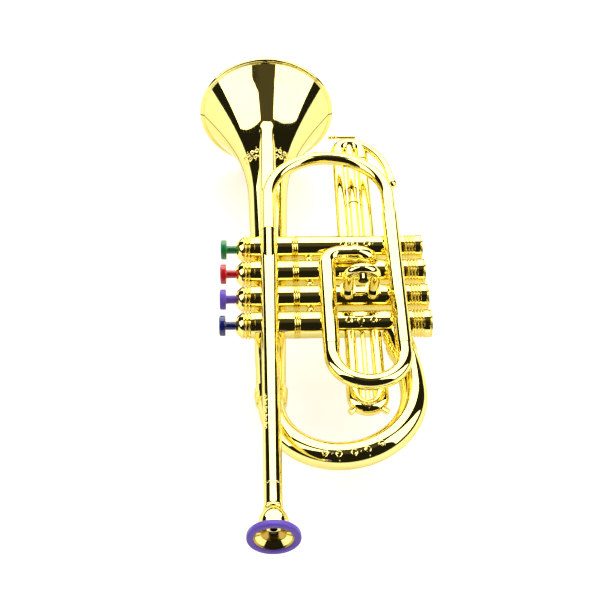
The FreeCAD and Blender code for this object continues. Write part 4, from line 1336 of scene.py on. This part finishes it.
@dataclass
class Ornament:
    """Traditional raised scrollwork on the bell's throat, the bows, two casings and the leadpipe."""

    throat_sides: tuple[tuple[str, float], ...] = (("right", 50.0), ("left", 130.0))
    throat_y: float = 122.0
    throat_rows: tuple[tuple[float, float, float], ...] = ((-3.0, -2.3, 1.2), (3.0, 2.3, 1.4))
    throat: Motif = Motif(4, 3.7, 1.55, 0.31, 0.45, 1.2)
    front: Motif = Motif(5, 5.8, 1.7, 0.31, 0.38, 1.15)
    front_bow: Bend = Bend((38.5, 68.5), 38.5, 4.3, 22.8, 84.0, 62.0)
    rear: Motif = Motif(5, 8.8, 2.1, 0.36, 0.42, 1.2)
    rear_bow: Bend = Bend((41.0, -81.5), 41.0, 7.8, 0.0, 276.0, 64.0, 6.0)
    casing: Motif = Motif(3, 7.4, 2.2, 0.36, 0.42, 1.1)
    casing_numbers: tuple[int, ...] = (0, 3)
    casing_middle: float = 54.0
    casing_side: float = 24.0
    pipe: Motif = Motif(9, 2.7, 0.85, 0.22, 0.34, 1.0)
    pipe_places: tuple[tuple[str, float], ...] = (("front", 45.0), ("rear", -105.0))
    pipe_side: float = 41.0
    crook: Motif = Motif(3, 3.6, 1.2, 0.22, 0.34, 1.2)
    first_crook: Bend = Bend((54.9, -85.6), 7.6, 4.6, 9.5, 270.0, 80.0)

    def round_bell(self, bell: Bell, angle: float, middle: float) -> Wrap:
        """Wrap a strip round the bell's throat.

        Args:
            bell: The bell.
            angle: The strip's middle, in degrees from +X.
            middle: Its place along the bell.

        Returns:
            The wrapping.
        """
        def wrap(x: float, y: float, out: float) -> Vector:
            """Bend one point of the strip.

            Args:
                x: Its place along the strip.
                y: Its place across it.
                out: Its height over it.

            Returns:
                The point, in millimetres.
            """
            radius = bell.radius_at(middle + y)
            turn = math.radians(angle) + x / radius
            reach = radius + out
            return PLACE.at(reach * math.cos(turn), middle + y, reach * math.sin(turn))
        return wrap

    def on_casing(self, valves: ValveRow, number: int) -> Wrap:
        """Wrap a strip onto a casing.

        Args:
            valves: The valves.
            number: The casing, from 0.

        Returns:
            The wrapping.
        """
        def wrap(x: float, y: float, out: float) -> Vector:
            """Bend one point of the strip.

            Args:
                x: Its place along the strip.
                y: Its place across it.
                out: Its height over it.

            Returns:
                The point, in millimetres.
            """
            angle = math.radians(self.casing_side) - y / valves.casing_radius
            reach = valves.casing_radius + out
            return valves.centre(number) + Vector(
                (self.casing_middle + x, -reach * math.sin(angle), reach * math.cos(angle))
            )
        return wrap

    def on_leadpipe(self, leadpipe: Leadpipe, middle: float) -> Wrap:
        """Wrap a strip onto the leadpipe.

        Args:
            leadpipe: The leadpipe.
            middle: The strip's place along it.

        Returns:
            The wrapping.
        """
        def wrap(x: float, y: float, out: float) -> Vector:
            """Bend one point of the strip.

            Args:
                x: Its place along the strip.
                y: Its place across it.
                out: Its height over it.

            Returns:
                The point, in millimetres.
            """
            radius = leadpipe.radius_at(middle + x) + out
            angle = math.radians(self.pipe_side) + y / radius
            return PLACE.at(-radius * math.sin(angle), middle + x, leadpipe.height + radius * math.cos(angle))
        return wrap

    def build(
        self, shop: Workshop, maker: FriezeMaker, bell: Bell, valves: ValveRow, leadpipe: Leadpipe,
    ) -> None:
        """Lay every strip.

        Args:
            shop: What finishes them.
            maker: What lays them flat.
            bell: The bell.
            valves: The valves.
            leadpipe: The leadpipe.
        """
        gold = shop.materials[Slot.GOLD]
        for side, angle in self.throat_sides:
            rows = []
            for row, (turn, shift, turns) in enumerate(self.throat_rows):
                wrap = self.round_bell(bell, angle + turn, self.throat_y + shift)
                motif = replace(self.throat, turns=turns)
                rows.append(maker.strip(f"throat_{side}_{row}", motif, wrap, gold))
            shop.seat(joined(f"scroll_bell_{side}", rows), Slot.GOLD)
        strips = [("front_bow", self.front, self.front_bow.wrap), ("rear_bow", self.rear, self.rear_bow.wrap)]
        strips += [(f"casing_{n + 1}", self.casing, self.on_casing(valves, n)) for n in self.casing_numbers]
        for end, along in self.pipe_places:
            strips.append((f"leadpipe_{end}", self.pipe, self.on_leadpipe(leadpipe, along)))
        strips += [("first_crook", self.crook, self.first_crook.wrap)]
        for name, motif, wrap in strips:
            shop.seat(maker.strip(f"scroll_{name}", motif, wrap, gold), Slot.GOLD)


# Studio ----------------------------------------------------------------------------------------


@dataclass
class Panel:
    """A soft light: a bright upright wall that faces the instrument.

    Azimuth 0 is past the bell's end, and 90 past the bottom caps. Angles are in degrees, and the distance
    in metres.
    """

    name: str
    first_azimuth: float
    last_azimuth: float
    first_elevation: float
    last_elevation: float
    radiance: float
    distance: float = 2.5

    def build(self, target: Vector) -> None:
        """Stand the panel beside the instrument.

        Args:
            target: The middle of the instrument.
        """
        azimuth = math.radians((self.first_azimuth + self.last_azimuth) / 2)
        half = math.radians((self.last_azimuth - self.first_azimuth) / 2)
        edges = (self.first_elevation, self.last_elevation)
        low, high = (self.distance * math.tan(math.radians(edge)) for edge in edges)
        way = Vector((math.sin(azimuth), math.cos(azimuth), 0))
        lamp = bpy.data.lights.new(self.name, "AREA")
        lamp.shape = "RECTANGLE"
        lamp.size, lamp.size_y = 2 * self.distance * math.tan(half), high - low
        lamp.energy = self.radiance * math.pi * lamp.size * lamp.size_y
        thing = bpy.data.objects.new(self.name, lamp)
        bpy.context.scene.collection.objects.link(thing)
        thing.location = target + way * self.distance + Vector((0, 0, (low + high) / 2))
        thing.rotation_mode = "QUATERNION"
        thing.rotation_quaternion = way.to_track_quat("Z", "Y")
        thing.visible_camera = False


@dataclass
class Studio:
    """A pale floor, soft panels over it and the camera."""

    lens: float = 76.8
    sensor: float = 36.0
    clip: Pair = (0.01, 50.0)
    camera_at: Triple = (-29.04, -541.62, 626.09)
    camera_right: Triple = (0.9995, -0.02857, 0.01324)
    camera_up: Triple = (0.01181, 0.72986, 0.68349)
    floor_size: float = 4.4
    floor_gap: float = 0.0004
    floor_greys: tuple[Triple, Triple] = ((0.93, 0.93, 0.93), (0.90, 0.90, 0.90))
    wall: Triple = (0.014, 0.013, 0.010)
    ceiling: Triple = (0.072, 0.062, 0.042)
    ceiling_from: Pair = (0.90, 0.97)
    ambient: float = 0.14
    floor_lift: float = 0.33
    mirror_lift: float = 0.06
    panels: tuple[Panel, ...] = (
        Panel("left panel", -112.0, -75.0, 14.0, 74.0, 2.7),
        Panel("right panel", 78.0, 125.0, 14.0, 74.0, 2.7),
        Panel("back panel", -42.0, 42.0, 11.0, 75.0, 2.75),
    )

    def camera(self) -> None:
        """Set up the camera."""
        lens = bpy.data.cameras.new("camera")
        lens.lens, lens.sensor_width = self.lens, self.sensor
        lens.clip_start, lens.clip_end = self.clip
        right, up = Vector(self.camera_right).normalized(), Vector(self.camera_up)
        back = right.cross(up).normalized()
        up = back.cross(right)
        matrix = Matrix((right, up, back)).transposed().to_4x4()
        matrix.translation = Vector(self.camera_at) * MM
        thing = bpy.data.objects.new("camera", lens)
        thing.matrix_world = matrix
        bpy.context.scene.collection.objects.link(thing)
        bpy.context.scene.camera = thing

    def floor(self) -> None:
        """Lay the floor: matt white, and plain white to the eye wherever no shadow falls."""
        half = self.floor_size / 2
        mesh = bpy.data.meshes.new("floor")
        z = CAD_BOX[0].z - self.floor_gap
        corners = ((-half, -half), (half, -half), (half, half), (-half, half))
        mesh.from_pydata([(x, y, z) for x, y in corners], [], [(0, 1, 2, 3)])
        made = bpy.data.materials.new("pale floor")
        made.use_nodes = True
        nodes = NodeTree(made.node_tree)
        ray = nodes.add("ShaderNodeLightPath")
        place = nodes.add("ShaderNodeTexCoord").outputs["Object"]
        grain = nodes.add("ShaderNodeTexNoise", Vector=place, Scale=3.0, Detail=2.0)
        matt = nodes.add("ShaderNodeBsdfDiffuse", Color=nodes.mix(grain.outputs["Fac"], *self.floor_greys))
        mirrored = nodes.maths("MULTIPLY", ray.outputs["Is Glossy Ray"], self.mirror_lift)
        lift = nodes.maths("MULTIPLY_ADD", ray.outputs["Is Camera Ray"], self.floor_lift, mirrored)
        glow = nodes.add("ShaderNodeEmission", Strength=lift)
        both = nodes.fill(nodes.add("ShaderNodeAddShader"), matt.outputs["BSDF"], glow.outputs["Emission"])
        nodes.add("ShaderNodeOutputMaterial", Surface=both.outputs["Shader"])
        mesh.materials.append(made)
        new_object("floor", mesh)

    def world(self) -> None:
        """White behind the floor, and a dim room round the panels."""
        world = bpy.data.worlds.new("studio")
        bpy.context.scene.world = world
        world.use_nodes = True
        nodes = NodeTree(world.node_tree)
        ray = nodes.add("ShaderNodeLightPath")
        white = nodes.add("ShaderNodeBackground", Color=(1, 1, 1, 1), Strength=1.0)
        soft = nodes.add("ShaderNodeBackground", Color=(1, 1, 1, 1), Strength=self.ambient)
        way = nodes.add("ShaderNodeTexCoord").outputs["Generated"]
        height = nodes.add("ShaderNodeSeparateXYZ", Vector=way).outputs["Z"]
        first, last = self.ceiling_from
        rise = nodes.add("ShaderNodeMapRange", Value=height, From_Min=first, From_Max=last)
        tone = nodes.mix(rise.outputs["Result"], self.wall, self.ceiling)
        room = nodes.add("ShaderNodeBackground", Color=tone, Strength=1.0)
        seen = nodes.fill(
            nodes.add("ShaderNodeMixShader"), ray.outputs["Is Glossy Ray"], soft.outputs["Background"],
            room.outputs["Background"],
        )
        whole = nodes.fill(
            nodes.add("ShaderNodeMixShader"), ray.outputs["Is Camera Ray"], seen.outputs["Shader"],
            white.outputs["Background"],
        )
        nodes.add("ShaderNodeOutputWorld", Surface=whole.outputs["Shader"])

    def build(self) -> None:
        """Set up the whole studio."""
        self.camera()
        self.floor()
        self.world()
        target = (CAD_BOX[0] + CAD_BOX[1]) / 2
        for panel in self.panels:
            panel.build(target)
        bpy.context.scene.view_settings.view_transform = "Standard"


@dataclass
class Tubing:
    """The tubes, crooks and fittings whose CAD form is already right."""

    nodes: tuple[str, ...] = (
        "bell_bow", "bell_bow_sleeve", "bell_bow_ferrule", "leadpipe", "front_bow",
        "tuning_outer_tube_right", "tuning_outer_tube_left", "tuning_elbow", "tuning_hook_ferrule",
        "tuning_crook", "tuning_inner_tube_left", "tuning_inner_tube_right", "casing_spacers",
        "first_slide_legs", "first_slide_crook", "first_slide_nubs", "first_slide_rod", "second_slide_loop",
        "second_slide_bands", "second_slide_knob", "third_slide_legs", "third_slide_crook",
        "third_slide_rod", "third_slide_brace", "third_slide_lever",
    )

    def build(self, shop: Workshop) -> None:
        """Give each its finish.

        Args:
            shop: What finishes them.
        """
        for node in self.nodes:
            shop.keep(node, Slot.GOLD)


def main() -> None:
    """Build the instrument, its finishes and the studio round it."""
    logging.basicConfig(level=logging.INFO, format="%(message)s")
    shop = Workshop()
    Studio().build()
    bell, leadpipe, valves = Bell(), Leadpipe(), ValveRow()
    bell.build(shop)
    valves.build(shop, TubeMaker(), bell, leadpipe)
    Mouthpiece().build(shop, leadpipe)
    Ornament().build(shop, FriezeMaker(), bell, valves, leadpipe)
    Tubing().build(shop)


if __name__ == "__main__":
    main()
